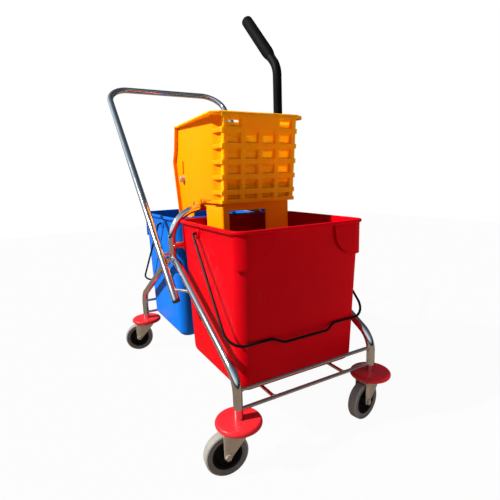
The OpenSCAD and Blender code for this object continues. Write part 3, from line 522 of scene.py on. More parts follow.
# Bumper discs: round-edged discs of soft coral-red plastic, one on each leg over its castor. Each is
# moulded in one piece and pressed up the leg.
coral = finish(
    "coral_plastic", (0.62, 0.018, 0.026), drift_to=(0.54, 0.014, 0.020), rough=(0.30, 0.46),
    drift_scale=14, grain_scale=900, bump=0.10,
    rubs=(60, 0.3, (0.75, 0.16, 0.16)), dust=(0.11, 0.2, (0.30, 0.10, 0.08)), Specular_IOR_Level=0.12,
)
for corner in legs:
    wear(corner + "_bumper", coral)

# Black plastic trim: moulded sleeves pressed into the leg ends, plugs pressed into the handle ends,
# and the shaft's bush and spring housing on the wringer's right plate.
black_plastic = finish(
    "black_plastic", (0.010, 0.010, 0.011), drift_to=(0.018, 0.018, 0.019), rough=(0.35, 0.55),
    drift_scale=30, grain_scale=1200, bump=0.15,
    rubs=(70, 0.3, (0.08, 0.08, 0.08)),
)
for node in ("castor_sockets", "handle_end_plugs", "shaft_bush", "spring_housing"):
    wear(node, black_plastic)

# Castor forks: zinc plated steel sheet, pressed into two tapered cheeks under a flat crown. A rivet
# with a domed head under the crown holds the swivel stem, which turns in the leg's sleeve.
# The tan base colour of this finish is painted reflection: it stands for brown ground mirrored in the
# plating. Its rubs and dust are real wear.
zinc = finish(
    "zinc_steel", (0.58, 0.51, 0.42), drift_to=(0.46, 0.40, 0.33), rough=(0.30, 0.48),
    drift_scale=55, grain_scale=500, bump=0.12,
    rubs=(80, 0.5, (0.66, 0.62, 0.56)), dust=(0.09, 0.4, (0.34, 0.28, 0.22)), Metallic=0.55,
)


def joined(target, part, place=None):
    """Adds one bmesh to another, moved by place."""
    if place is not None:
        part.transform(place)
    carrier = bpy.data.meshes.new("carrier")
    part.to_mesh(carrier)
    part.free()
    target.from_mesh(carrier)
    bpy.data.meshes.remove(carrier)


def outward(part):
    """Turns the faces of a part to face out."""
    bmesh.ops.recalc_face_normals(part, faces=part.faces)


def soften(part, edge, angle=35):
    """Rounds every edge that is sharper than the angle."""
    part.normal_update()
    sharp = [e for e in part.edges if e.is_manifold and e.calc_face_angle(0) > math.radians(angle)]
    if edge > 0 and sharp:
        bmesh.ops.bevel(
            part, geom=sharp, offset=edge, offset_type="OFFSET", segments=3, profile=0.5,
            affect="EDGES", clamp_overlap=True,
        )


def thickened(part, faces, thickness, edge):
    """Raises flat faces along Z to a closed part with rounded edges."""
    raised = bmesh.ops.extrude_face_region(part, geom=faces)["geom"]
    lifted = [v for v in raised if isinstance(v, bmesh.types.BMVert)]
    bmesh.ops.translate(part, verts=lifted, vec=(0, 0, thickness))
    outward(part)
    soften(part, edge)
    return part


def slab(outline, low, high, edge):
    """A flat outline given thickness along Z, with rounded edges."""
    part = bmesh.new()
    face = part.faces.new([part.verts.new((u, v, low)) for u, v in outline])
    return thickened(part, [face], high - low, edge)


def block(low, high, edge):
    """A rounded box between two corners."""
    outline = [(low[0], low[1]), (high[0], low[1]), (high[0], high[1]), (low[0], high[1])]
    return slab(outline, low[2], high[2], edge)


pole_gap = 0.0005


def lathe(outline, steps, material_of=None):
    """A closed outline of (radius, height) turned about Z."""
    part = bmesh.new()
    rounds = []
    for k in range(steps):
        turn = 2 * math.pi * k / steps
        rounds.append([part.verts.new((r * math.cos(turn), r * math.sin(turn), h)) for r, h in outline])
    count = len(outline)
    for k in range(steps):
        here = rounds[k]
        there = rounds[(k + 1) % steps]
        for j in range(count):
            n = (j + 1) % count
            face = part.faces.new((here[j], there[j], there[n], here[n]))
            if material_of:
                face.material_index = material_of(outline[j], outline[n])
    bmesh.ops.remove_doubles(part, verts=part.verts, dist=pole_gap)
    outward(part)
    return part


def arc(centre, radius, start, end, steps):
    """Points of an arc between two angles in degrees."""
    spread = [math.radians(start + (end - start) * k / steps) for k in range(steps + 1)]
    return [(centre[0] + radius * math.cos(t), centre[1] + radius * math.sin(t)) for t in spread]


def piece(name, part, materials, body, stands_for=(), sharp=42):
    """Makes a finished object of a bmesh in millimetres, riding a body."""
    mesh = bpy.data.meshes.new(name)
    part.to_mesh(mesh)
    part.free()
    to_metres(mesh)
    for material in materials:
        mesh.materials.append(material)
    mesh.shade_smooth()
    mesh.set_sharp_from_angle(angle=math.radians(sharp))
    thing = bpy.data.objects.new(name, mesh)
    scene.collection.objects.link(thing)
    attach(thing, body)
    if stands_for:
        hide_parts(*stands_for)
    return thing


stand_up = Matrix.Rotation(math.radians(90), 4, "X")
crown_gap = 0.6
crown_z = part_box("castor_sockets")[0].z / MM - crown_gap
rolls = {
    joint["child"].replace("_wheel", ""): joint
    for joint in frame["joints"] if joint["name"].endswith("_roll")
}
fork_t = 2.5
cheek_in = 13.0
cheek_out = cheek_in + fork_t
foot_r = 8.0
crown_back = 20.0
crown_t = 3.0
crown_drop = 8.0
stem_r = 5.0
stem_lap = 1.0
pressed_edge = 0.8
rivet_dome = [(0, -5), (6, -4), (9, -1.5), (10, 0.5), (0, 0.5)]
for corner, leg in legs.items():
    axle = mm_from_hoop(rolls[corner]["pos_m"])
    trail = math.hypot(axle.x - leg.x, axle.y - leg.y)
    heading = math.atan2(axle.y - leg.y, axle.x - leg.x)
    at_castor = Matrix.Translation((leg.x, leg.y, 0)) @ Matrix.Rotation(heading, 4, "Z")
    lead = Vector((-crown_back - trail, crown_z - crown_drop - axle.z))
    lead_angle = math.degrees(math.atan2(lead.y, lead.x) + math.acos(foot_r / lead.length))
    cheek = [(-crown_back, crown_z), (-crown_back, crown_z - crown_drop)]
    cheek += arc((trail, axle.z), foot_r, lead_angle, 360, 12)
    cheek += [(trail + foot_r, crown_z)]
    fork = bmesh.new()
    for low, high in ((cheek_in, cheek_out), (-cheek_out, -cheek_in)):
        joined(fork, slab(cheek, low, high, pressed_edge), stand_up)
    crown_low = (-crown_back, -cheek_out, crown_z - crown_t)
    joined(fork, block(crown_low, (trail + foot_r, cheek_out, crown_z), pressed_edge))
    stem_low = crown_z - stem_lap
    stem_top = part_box(corner + "_fork")[1].z / MM
    joined(fork, lathe([(0, stem_low), (stem_r, stem_low), (stem_r, stem_top), (0, stem_top)], 32))
    joined(fork, lathe([(r, crown_z - crown_t + h) for r, h in rivet_dome], 32))
    fork.transform(at_castor)
    piece(corner + "_fork_pressing", fork, [zinc], corner + "_castor", [corner + "_fork"])
    wear(corner + "_axle", zinc)

# Wheels: a grey rubber tyre with a paler worn tread and round shoulders, on a black plastic centre
# with a dished web and strengthening rings. The centre runs on the axle bolt by a long bore.
tyre_side = finish(
    "tyre_side", (0.105, 0.095, 0.095), drift_to=(0.135, 0.122, 0.120), rough=(0.55, 0.75),
    drift_scale=30, grain_scale=700, bump=0.25,
    dust=(0.08, 0.4, (0.16, 0.14, 0.12)), Specular_IOR_Level=0.2,
)
tyre_tread = finish(
    "tyre_tread", (0.27, 0.26, 0.24), drift_to=(0.22, 0.21, 0.19), rough=(0.65, 0.85),
    drift_scale=40, grain_scale=500, bump=0.35,
    rubs=(60, 0.5, (0.18, 0.17, 0.15)), dust=(0.10, 0.5, (0.24, 0.21, 0.18)), Specular_IOR_Level=0.15,
)
hub_black = finish(
    "hub_black", (0.003, 0.003, 0.003), drift_to=(0.005, 0.005, 0.005), rough=(0.45, 0.60),
    drift_scale=40, grain_scale=1000, bump=0.15,
    dust=(0.08, 0.15, (0.03, 0.025, 0.02)), Specular_IOR_Level=0.1,
)
wheel_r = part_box("front_left_tyre")[1].z / MM / 2
half_w = 11.0
rim_r = 31.0
bore_r = 4.05
shoulder_r = 4.4
tread_band = 3.6
tyre_half = [(rim_r, half_w - 1.6), (rim_r + 1.0, half_w - 0.6)]
tyre_half += [(rim_r + 4.5, half_w), (wheel_r - 5.5, half_w)]
tyre_half += arc((wheel_r - 4.6, half_w - shoulder_r), shoulder_r, 90, 8, 8)
tyre_half += [(wheel_r, 1.0), (wheel_r - 0.25, 0.4)]
hub_half = [
    (bore_r, 12.0), (9.2, 12.0), (10.2, 11.4), (11.0, 10.0), (11.6, 5.6), (13.0, 3.6), (20.5, 3.2),
    (21.2, 4.4), (22.4, 4.4), (23.2, 3.4), (24.9, 4.2), (25.9, 8.8), (26.9, 9.8), (29.9, 10.0), (30.9, 9.2),
]


def both_faces(half):
    """A whole outline from its half on one face of the wheel."""
    return [(r, -h) for r, h in half] + [(r, h) for r, h in reversed(half)]


def tread_or_side(first, second):
    """Which of the tyre's two finishes a stretch of its outline takes."""
    middle = (first[0] + second[0]) / 2
    return 1 if middle > wheel_r - tread_band else 0


for corner, roll in rolls.items():
    axle = mm_from_hoop(roll["pos_m"])
    on_axle = Matrix.Translation(axle) @ Vector(roll["axis"]).to_track_quat("Z", "Y").to_matrix().to_4x4()
    tyre = lathe(both_faces(tyre_half), 96, material_of=tread_or_side)
    tyre.transform(on_axle)
    piece(
        corner + "_tyre_moulding", tyre, [tyre_side, tyre_tread], corner + "_wheel",
        [corner + "_tyre"],
    )
    hub = lathe(both_faces(hub_half), 72)
    hub.transform(on_axle)
    piece(
        corner + "_wheel_centre", hub, [hub_black], corner + "_wheel",
        [corner + "_wheel_hub"],
    )

# Buckets: one-piece mouldings in coloured plastic, with a rolled rim, a stiffening skirt at each
# corner under the rim, a rounded foot and a bored boss on each side for the wire bail.
red_plastic = finish(
    "red_plastic", (0.50, 0.0003, 0.005), drift_to=(0.44, 0.0002, 0.004), rough=(0.30, 0.40),
    drift_scale=5, grain_scale=700, bump=0.05,
    rubs=(24, 0.12, (0.62, 0.06, 0.08)), Specular_IOR_Level=0.02,
)
blue_plastic = finish(
    "blue_plastic", (0.002, 0.135, 0.60), drift_to=(0.001, 0.110, 0.52), rough=(0.30, 0.40),
    drift_scale=5, grain_scale=700, bump=0.05,
    rubs=(24, 0.12, (0.08, 0.24, 0.68)), Specular_IOR_Level=0.04,
)
bucket_low, bucket_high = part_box("red_bucket")
bucket_size = Vector(bucket_high) - Vector(bucket_low)
rim_half_x = bucket_size.x / MM / 2
rim_half_y = bucket_size.y / MM / 2
bucket_base = bucket_low.z / MM
bucket_h = bucket_size.z / MM
bucket_wall = 3.0
bucket_floor = 3.5
lip_out = 8.0
lip_h = 7.0
lip_z = bucket_h - lip_h
rim_round = 3.0
taper_x = 5.0
taper_y = 18.0
corner_r = 29.0
least_r = 2.0
foot_round = 20.0
base_recess = 3.0
wall_shares = (0.3, 0.6, 0.9)
skirt_h = 70.0
skirt_l = 86.0
skirt_out = 4.0
skirt_sink = 1.5
skirt_lap = 2.0
skirt_round = 62.0
skirt_wrap_to = 26
boss_r = 12.0
boss_out = 4.0
boss_bore = 2.9
pivot_below = 23.0


def bucket_half(height):
    """Half the outer width and length of the tapered wall at a height over the base."""
    lean = 1 - height / bucket_h
    return rim_half_x - lip_out - taper_x * lean, rim_half_y - lip_out - taper_y * lean


def bucket_row(height, out):
    """One level round of the bucket at a height over its base, moved out from the wall."""
    half_x, half_y = bucket_half(height)
    radius = max(least_r, corner_r + out)
    row = []
    for turn, sx, sy in ((0, 1, 1), (90, -1, 1), (180, -1, -1), (270, 1, -1)):
        centre = (sx * (half_x + out - radius), sy * (half_y + out - radius))
        row += arc(centre, radius, turn, turn + 90, 10)
    return [Vector((x, y, bucket_base + height)) for x, y in row]


def bucket_shell():
    """The shell, from a section of heights and ways out that runs from base to rim and inside."""
    inner_round = foot_round - bucket_wall
    section = [(base_recess, -34.0), (base_recess, -27.0), (0.0, -24.0)]
    section += arc((foot_round, -foot_round), foot_round, 180, 90, 6)
    section += [(lip_z * share, 0) for share in wall_shares]
    section += [(lip_z - 4, 0), (lip_z - 1.6, 0.6), (lip_z - 0.3, 2.2)]
    section += [(lip_z, lip_out - 1.6), (lip_z + 0.5, lip_out - 0.4), (lip_z + 1.4, lip_out)]
    section += arc((bucket_h - rim_round, lip_out - rim_round), rim_round, 90, 0, 6)
    section += [(bucket_h, -0.5), (bucket_h - 0.8, -2.2), (bucket_h - 3, -bucket_wall)]
    section += [(lip_z * share, -bucket_wall) for share in reversed(wall_shares)]
    section += arc((bucket_floor + inner_round, -bucket_wall - inner_round), inner_round, 90, 180, 6)
    part = bmesh.new()
    made = [[part.verts.new(p) for p in bucket_row(height, out)] for height, out in section]
    for low, high in zip(made, made[1:]):
        for k in range(len(low)):
            n = (k + 1) % len(low)
            part.faces.new((low[k], low[n], high[n], high[k]))
    part.faces.new(list(reversed(made[0])))
    part.faces.new(made[-1])
    outward(part)
    return part


def corner_skirt(sx, sy):
    """A thicker band on the end wall, from round the corner to a large rounded lower end."""
    half_x, half_y = bucket_half(lip_z)
    run_steps = 14
    path = [(half_x - skirt_l + (skirt_l - corner_r) * k / run_steps, half_y) for k in range(run_steps)]
    path += arc((half_x - corner_r, half_y - corner_r), corner_r, 90, skirt_wrap_to, 12)
    steps = 6
    part = bmesh.new()
    columns = []
    for x, y in path:
        gap = max(0.0, skirt_round - (x - path[0][0]))
        lift = skirt_round - math.sqrt(max(0.0, skirt_round * skirt_round - gap * gap))
        way = Vector((max(0.0, x - half_x + corner_r), y - half_y + corner_r, 0)).normalized()
        column = []
        for depth in (-skirt_sink, skirt_out):
            for j in range(steps + 1):
                height = lip_z + skirt_lap - (skirt_h + skirt_lap - lift) * (1 - j / steps)
                spot = Vector((x, y, 0)) + way * depth
                column.append(part.verts.new((sx * spot.x, sy * spot.y, bucket_base + height)))
        columns.append(column)
    side = steps + 1
    for here, there in zip(columns, columns[1:]):
        for j in range(steps):
            part.faces.new((here[j], there[j], there[j + 1], here[j + 1]))
            part.faces.new((here[side + j], here[side + j + 1], there[side + j + 1], there[side + j]))
        part.faces.new((here[0], here[side], there[side], there[0]))
        part.faces.new((here[steps], there[steps], there[side + steps], here[side + steps]))
    for column in (columns[0], columns[-1]):
        part.faces.new(column[:side] + list(reversed(column[side:])))
    outward(part)
    soften(part, edge=1.2, angle=50)
    return part


def bail_boss(side, along):
    """The bored boss under the rim that holds one end of the bail."""
    wall_x = rim_half_x - lip_out
    outline = [(boss_bore, -2), (boss_r + 3, -2), (boss_r + 1.2, 0.6), (boss_r, 2.2)]
    outline += [(boss_r, boss_out - 1.4), (boss_r - 1.4, boss_out - 0.2)]
    outline += [(boss_bore + 1, boss_out - 0.2), (boss_bore, boss_out - 1)]
    part = lathe(outline, 40)
    turned = Matrix.Rotation(math.radians(90) * side, 4, "Y")
    place = Matrix.Translation((side * wall_x, along, bucket_base + bucket_h - pivot_below))
    part.transform(place @ turned)
    return part


pivots = {
    joint["child"]: mm_from_hoop(joint["pos_m"])
    for joint in frame["joints"] if "bail" in joint["name"]
}
for colour_name, plastic in (("red", red_plastic), ("blue", blue_plastic)):
    node = colour_name + "_bucket"
    middle_y = middle_of(node, "y") - hoop_y
    bucket = bucket_shell()
    for sx in (-1, 1):
        for sy in (-1, 1):
            joined(bucket, corner_skirt(sx, sy))
        joined(bucket, bail_boss(sx, pivots[colour_name + "_bail"].y - middle_y))
    bucket.transform(Matrix.Translation((0, middle_y, 0)))
    piece(node + "_moulding", bucket, [plastic], node, [node], sharp=38)

# Bails: stiff steel wire with a black coating, bent in one piece to a stepped hand grip. The ends
# are hooked into the bosses of the buckets, where each bail swings.
black_wire = finish(
    "black_wire", (0.003, 0.003, 0.003), drift_to=(0.005, 0.005, 0.005), rough=(0.35, 0.50),
    drift_scale=60, grain_scale=900, bump=0.12,
    rubs=(120, 0.3, (0.04, 0.04, 0.04)), Specular_IOR_Level=0.15,
)
for node in ("red_bail", "blue_bail"):
    wear(node, black_wire)

# Wringer: a hopper of yellow plastic, moulded with saddle pads that rest on the hoop. Its front is a
# grid of ribs with shallow pockets, under a plain band that has a slotted pocket at each end.
yellow_plastic = finish(
    "yellow_plastic", (0.95, 0.265, 0.001), drift_to=(0.92, 0.246, 0.001), rough=(0.28, 0.40),
    drift_scale=6, grain_scale=700, bump=0.06,
    rubs=(30, 0.12, (1.0, 0.38, 0.01)), Specular_IOR_Level=0.02,
)
# A paler, yellower copy of the yellow plastic for the front wall and the flange, which lie mostly in shade:
# the paler colour is painted light that lifts their shade. The glow of light through the thin plastic is
# real.
yellow_front = finish(
    "yellow_front", (0.97, 0.36, 0.001), drift_to=(0.94, 0.335, 0.001), rough=(0.28, 0.40),
    drift_scale=6, grain_scale=700, bump=0.06,
    rubs=(30, 0.12, (1.0, 0.42, 0.01)), Subsurface_Weight=1.0, Subsurface_Scale=0.012,
    Subsurface_Radius=(1.0, 1.0, 0.05), Specular_IOR_Level=0.06,
)
top_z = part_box("wringer_body")[1].z / MM
plate_x = 104.5
plate_t = 4.5
inner_x = plate_x - plate_t
front_half = 98.0
saddle_gap = 0.3
saddle_rise = 6.0
base_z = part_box("hoop_tube")[1].z / MM + saddle_gap + saddle_rise
front_low_y = -145.6
front_top_y = -166.0
front_below = 2.0
rib_depth = 8.0
rib_t = 11.0
rib_pitch = 35.0
rib_wrap = 50.0
rib_rows = 5
rib_columns = 5
rib_round = 2.6
rib_crease = 20
sill_h = 9.0
band_h = 33.5
brow_h = 11.0
pocket_draft = 3.5
bed_t = 2.4
hand_slot_h = 4.5
tip_x = front_half + 4.0
merge_gap = 0.01
flat_turn = 0.01


def front_y(height):
    """Front face of the ribs at a height."""
    return front_low_y + (front_top_y - front_low_y) * (height - base_z) / (top_z - base_z)


def along_x(part, low):
    """Turns a part drawn in lengthways place and height, with its thickness along X."""
    part.transform(Matrix(((0, 0, 1, low), (1, 0, 0, 0), (0, 1, 0, 0), (0, 0, 0, 1))))
    return part


def leaned(part):
    """Moves a part drawn behind the front face so that it follows the face's lean."""
    for v in part.verts:
        v.co.y += front_y(v.co.z)
    return part


def pocketed_front():
    """The front wall, ribs with drafted pockets between them, and the heights of its level lines."""
    col_pitch = (2 * front_half - rib_t) / (rib_columns - 1)
    starts = [-front_half + k * col_pitch for k in range(rib_columns)]
    lines_x = sorted(starts + [x + rib_t for x in starts] + [-tip_x, tip_x])
    last = len(lines_x) - 2
    lines_z = [base_z, base_z + sill_h]
    for k in reversed(range(rib_rows)):
        rib_top = top_z - band_h - k * rib_pitch
        lines_z += [rib_top - rib_t, rib_top]
    lines_z += [top_z - brow_h, top_z - front_below]
    part = bmesh.new()

    def corner(x, z, depth):
        return part.verts.new((x, front_y(z) + depth, z))

    for i in range(len(lines_x) - 1):
        for j in range(len(lines_z) - 1):
            x0, x1 = lines_x[i], lines_x[i + 1]
            z0, z1 = lines_z[j], lines_z[j + 1]
            outer = [corner(x, z, 0) for x, z in ((x0, z0), (x1, z0), (x1, z1), (x0, z1))]
            in_band = j == len(lines_z) - 3
            between_ribs = j % 2 == 1 and j < len(lines_z) - 2
            if between_ribs and i in (0, last):
                continue
            if not (i % 2 == 0 and between_ribs and (not in_band or i in (2, last - 2))):
                part.faces.new(outer)
                continue
            d = pocket_draft
            head = min(2 * d, (z1 - z0) / 3)
            bed = [(x0 + d, z0 + d), (x1 - d, z0 + d), (x1 - d, z1 - head), (x0 + d, z1 - head)]
            inner = [corner(x, z, rib_depth) for x, z in bed]
            if in_band:
                sill = [corner(x, z1 - head - hand_slot_h, rib_depth) for x in (x1 - d, x0 + d)]
                part.faces.new(inner[:2] + sill)
                part.faces.new((outer[1], outer[2], inner[2], sill[0], inner[1]))
                part.faces.new((outer[3], outer[0], inner[0], sill[1], inner[3]))
                part.faces.new((outer[0], outer[1], inner[1], inner[0]))
                part.faces.new((outer[2], outer[3], inner[3], inner[2]))
                continue
            part.faces.new(inner)
            for k in range(4):
                n = (k + 1) % 4
                part.faces.new((outer[k], outer[n], inner[n], inner[k]))
    bmesh.ops.remove_doubles(part, verts=part.verts, dist=merge_gap)
    bmesh.ops.delete(part, geom=[v for v in part.verts if not v.link_faces], context="VERTS")
    border = [e for e in part.edges if e.is_boundary]
    skirt = bmesh.ops.extrude_edge_only(part, edges=border)["geom"]
    for v in skirt:
        if isinstance(v, bmesh.types.BMVert):
            v.co.y = front_y(v.co.z) + rib_depth + bed_t
    outward(part)
    flat = [e for e in part.edges if e.is_manifold and e.calc_face_angle(0) < flat_turn]
    bmesh.ops.dissolve_edges(part, edges=flat, use_verts=True)
    rear = [e for e in part.edges if e.is_boundary]
    bmesh.ops.triangle_fill(part, edges=rear, use_beauty=True)
    outward(part)
    soften(part, rib_round, rib_crease)
    return part, lines_z


front, rib_lines = pocketed_front()
# The front wall takes the paler copy of the yellow: painted light on its shaded face.
piece("wringer_front_moulding", front, [yellow_front], "wringer", sharp=45)

# Side plates: the flat yellow walls of the hopper, moulded with it. Each has a rear lip, a scooped
# front corner over a bowl, fins that carry the ribs round, and lugs astride the hoop.
wringer = bmesh.new()
rear_top_y = 115.0
rear_low_y = 119.0
plate_low = base_z - saddle_rise - 37
rear_edge = [(rear_top_y, top_z), (131.5, top_z - 65), (148, top_z - 95), (rear_low_y, plate_low)]
rear_gap_y = 28.0
lip_t = 5.0
lip_edge = 1.4
rear_lip_out = 9.5
low_lip_out = 7.0
bowl_r = 14.0
bowl_t = 2.5
bowl_back = -20.0
bowl_top = base_z + bowl_r
bowl_from = 4
bowl_to = -68
bowl_lap = 4.0
cap_front = bowl_back - 2
cap_back = bowl_back + 3
cap_low = base_z - 5
strip_front = front_y(base_z) + rib_depth + 1
strip_back = -33.0
pad_half = 15.8
pad_low = base_z - saddle_rise
lug_drop = 6.0
flange_t = 5.5
thin_edge = 0.3
block_edge = 1.0
fin_edge = 2.2
hair = 0.05
fin_x = plate_x - 2 * hair
fin_tip = tip_x - 2 * hair
plate = [(rear_gap_y, plate_low), (rear_gap_y, base_z), (bowl_back, base_z), (bowl_back, bowl_top)]
plate += [(front_y(bowl_top) + rib_wrap, bowl_top), (front_top_y + rib_wrap, top_z - front_below)]
plate += rear_edge
bowl = arc((plate_x - bowl_r, bowl_top), bowl_r - hair, bowl_from, bowl_to, 8)
bowl += arc((plate_x - bowl_r, bowl_top), bowl_r - bowl_t, bowl_to, bowl_from, 8)
scoop = [
    (inner_x + 1, rib_wrap + 6), (plate_x - hair, rib_wrap + 6), (plate_x - 0.2, rib_wrap - 2),
    (plate_x - 3.5, rib_wrap - 9), (plate_x - 8.5, rib_wrap - 16), (plate_x - 10.2, rib_wrap - 26),
    (plate_x - 10.2, rib_depth + 1), (plate_x - 14.5, rib_depth + 1), (plate_x - 14.5, rib_wrap - 24),
    (plate_x - 12, rib_wrap - 12), (inner_x - 2, rib_wrap),
]
lip = rear_edge + [(y - lip_t, z) for y, z in reversed(rear_edge)]
fin = [(front_half - 8, 4), (fin_tip, 4), (fin_tip, rib_depth)]
fin += [(fin_x, rib_wrap + 2), (inner_x + 1, rib_wrap + 2)]


def along_y(part):
    """Turns a part drawn in sideways place and height, with its thickness along Y."""
    part.transform(Matrix(((1, 0, 0, 0), (0, 0, 1, 0), (0, 1, 0, 0), (0, 0, 0, 1))))
    return part


def right_plate():
    """The right plate with all that is moulded on it."""
    half = bmesh.new()
    joined(half, along_x(slab(plate, 0, plate_t, thin_edge), inner_x))
    joined(half, leaned(slab(scoop, base_z, top_z - flange_t / 2, thin_edge)))
    joined(half, along_y(slab(bowl, front_y(base_z) + rib_wrap - bowl_lap, bowl_back + 1, thin_edge)))
    joined(half, along_x(slab(lip, 0, plate_t + rear_lip_out, lip_edge), inner_x))
    low_lip_far = (plate_x + low_lip_out, rear_low_y - 2, plate_low + lip_t)
    joined(half, block((inner_x, rear_gap_y, plate_low), low_lip_far, lip_edge))
    for j in range(0, len(rib_lines) - 2, 2):
        joined(half, leaned(slab(fin, rib_lines[j], rib_lines[j + 1], fin_edge)))
    boxes = [
        ((inner_x - 1, cap_front, cap_low), (plate_x - thin_edge, cap_back, bowl_top + 2)),
        ((inner_x - 18, cap_front, cap_low), (inner_x, cap_back, base_z + 4)),
        ((front_half - 10, strip_front, base_z), (front_half + 3, strip_back, base_z + plate_t)),
        ((inner_x, -pad_half, pad_low), (plate_x, pad_half, base_z + 2)),
    ]
    for low_y in (-pad_half, pad_half - lug_drop):
        boxes.append(((inner_x, low_y, pad_low - lug_drop), (plate_x, low_y + lug_drop, pad_low + 3)))
    for low, high in boxes:
        joined(half, block(low, high, block_edge))
    return half


def on_both_sides(make):
    """Adds what a function makes on the right to the wringer, there and mirrored on the left."""
    for side in (-1, 1):
        part = make()
        part.transform(Matrix.Scale(side, 4, (1, 0, 0)))
        outward(part)
        joined(wringer, part)


on_both_sides(right_plate)

# Top flange: the rolled edge round the hopper's mouth, of the same yellow plastic and moulded with it.
# It is widest at its front corners, where a curled lip hangs.
flange_out = 22.5
flange_rear_out = 8.5
flange_chamfer = 16.0
flange_edge = 2.5
corner_x = plate_x + flange_out
corner_y = front_top_y + flange_chamfer
side_x = plate_x + flange_rear_out
outer_ring = [
    (-front_half - 2, front_top_y), (front_half + 2, front_top_y), (corner_x, corner_y),
    (side_x, front_top_y + rib_wrap), (side_x, rear_top_y), (-side_x, rear_top_y), (-corner_x, corner_y),
]
mouth_right = [(inner_x - 9, front_top_y + 11), (inner_x - 6, front_top_y + 34)]
mouth_right += [(inner_x, front_top_y + rib_wrap), (inner_x, rear_top_y - 9)]
mouth = mouth_right + [(-x, y) for x, y in reversed(mouth_right)]
curl_h = 10.0
curl_t = 4.5
curl_edge = 1.8
curl_x = side_x + 4
curl_y = front_top_y + rib_wrap - 12
curl = [
    (front_half + 1, front_top_y + 0.6), (corner_x - 0.6, corner_y), (curl_x, curl_y),
    (curl_x - curl_t, curl_y), (corner_x - 1.6 * curl_t, corner_y + 1),
    (front_half + 1, front_top_y + curl_t),
]


def ring_slab(outer, inner, low, high, edge):
    """A flat ring between two outlines, given thickness along Z."""
    part = bmesh.new()
    loops = []
    for outline in (outer, inner):
        spots = [part.verts.new((x, y, low)) for x, y in outline]
        loops += [part.edges.new((spots[k], spots[(k + 1) % len(spots)])) for k in range(len(spots))]
    filled = bmesh.ops.triangle_fill(part, edges=loops, use_beauty=True, use_dissolve=True)["geom"]
    faces = [f for f in filled if isinstance(f, bmesh.types.BMFace)]
    return thickened(part, faces, high - low, edge)


def curled_lip():
    """The lip under the flange's outer edge at its right front corner."""
    return slab(curl, top_z - curl_h, top_z - flange_t / 2, curl_edge)


rolled_edge = ring_slab(outer_ring, mouth, top_z - flange_t, top_z, flange_edge)
on_both_sides(curled_lip)
# The flange takes the paler copy of the yellow: painted light on its shaded underside.
piece("wringer_flange_moulding", rolled_edge, [yellow_front], "wringer", sharp=45)

# Trough: the hopper's slotted drain floor of yellow plastic, moulded between the plates in an arc
# about the drive shaft. A bored collar for the shaft and a raised strip on each plate go with it.
shaft_at = mm_from_hoop(next(j for j in frame["joints"] if j["name"] == "lever_press")["pos_m"])
shaft_bore = 7.05
collar_r = 13.0
collar_l = 12.4
trough_r = shaft_at.z - base_z
trough_t = 4.0
trough_steps = 20
reach = 41.4
slot_l = 24.0
slot_w = 8.0
slot_columns = 6
slot_pitch = inner_x * 0.3
slot_starts = [-62.0, -26.0, 10.0]
narrow_x = front_half - 5
narrow_y = front_y(base_z) + rib_wrap + 6
stop_y = middle_of("stop_rod", "y") - hoop_y
stop_z = middle_of("stop_rod", "z")


def slotted_trough():
    """The curved drain floor about the shaft, with three rows of six slots."""

    def turn_at(offset):
        return math.degrees(math.asin(max(-1, min(1, offset / trough_r))))

    turns = [-reach, reach]
    turns += [turn_at(s) for s in slot_starts] + [turn_at(s + slot_l) for s in slot_starts]
    turns += [-reach + 2 * reach * k / trough_steps for k in range(1, trough_steps)]
    turns = sorted(set(round(t, 3) for t in turns))
    columns = [(c - (slot_columns - 1) / 2) * slot_pitch for c in range(slot_columns)]
    spots_x = [-inner_x - 1, -narrow_x, narrow_x, inner_x + 1]
    spots_x += [c - slot_w / 2 for c in columns] + [c + slot_w / 2 for c in columns]
    spots_x.sort()
    part = bmesh.new()

    def spot(x, turn):
        a = math.radians(turn)
        return part.verts.new((
            x, shaft_at.y + trough_r * math.sin(a), shaft_at.z - trough_r * math.cos(a)
        ))

    for x0, x1 in zip(spots_x, spots_x[1:]):
        for t0, t1 in zip(turns, turns[1:]):
            offset = trough_r * math.sin(math.radians((t0 + t1) / 2))
            over_slot = any(abs((x0 + x1) / 2 - c) < slot_w / 2 for c in columns)
            over_slot = over_slot and any(s < offset < s + slot_l for s in slot_starts)
            outside = abs(x0 + x1) / 2 > narrow_x and shaft_at.y + offset < narrow_y
            if not over_slot and not outside:
                part.faces.new((spot(x0, t0), spot(x1, t0), spot(x1, t1), spot(x0, t1)))
    bmesh.ops.remove_doubles(part, verts=part.verts, dist=merge_gap)
    outward(part)
    bmesh.ops.solidify(part, geom=part.faces, thickness=-trough_t)
    outward(part)
    return part


def raised_strip():
    """The strip on the right plate over the end of the stop rod."""
    low = (plate_x - 1, stop_y - 5, stop_z + 16)
    high = (plate_x + 4, stop_y + 5, stop_z + 50)
    return block(low, high, edge=1.8)


joined(wringer, slotted_trough())
collar_outline = [(shaft_bore, 0), (collar_r, 0), (collar_r, collar_l - 1.4)]
collar_outline += [(collar_r - 1.2, collar_l), (shaft_bore, collar_l)]
collar = lathe(collar_outline, 40)
at_collar = Matrix.Translation((-inner_x - 1, shaft_at.y, shaft_at.z))
collar.transform(at_collar @ Matrix.Rotation(math.radians(90), 4, "Y"))
joined(wringer, collar)
on_both_sides(raised_strip)
piece(
    "wringer_moulding", wringer, [yellow_plastic], "wringer", ["wringer_body"], sharp=45
)

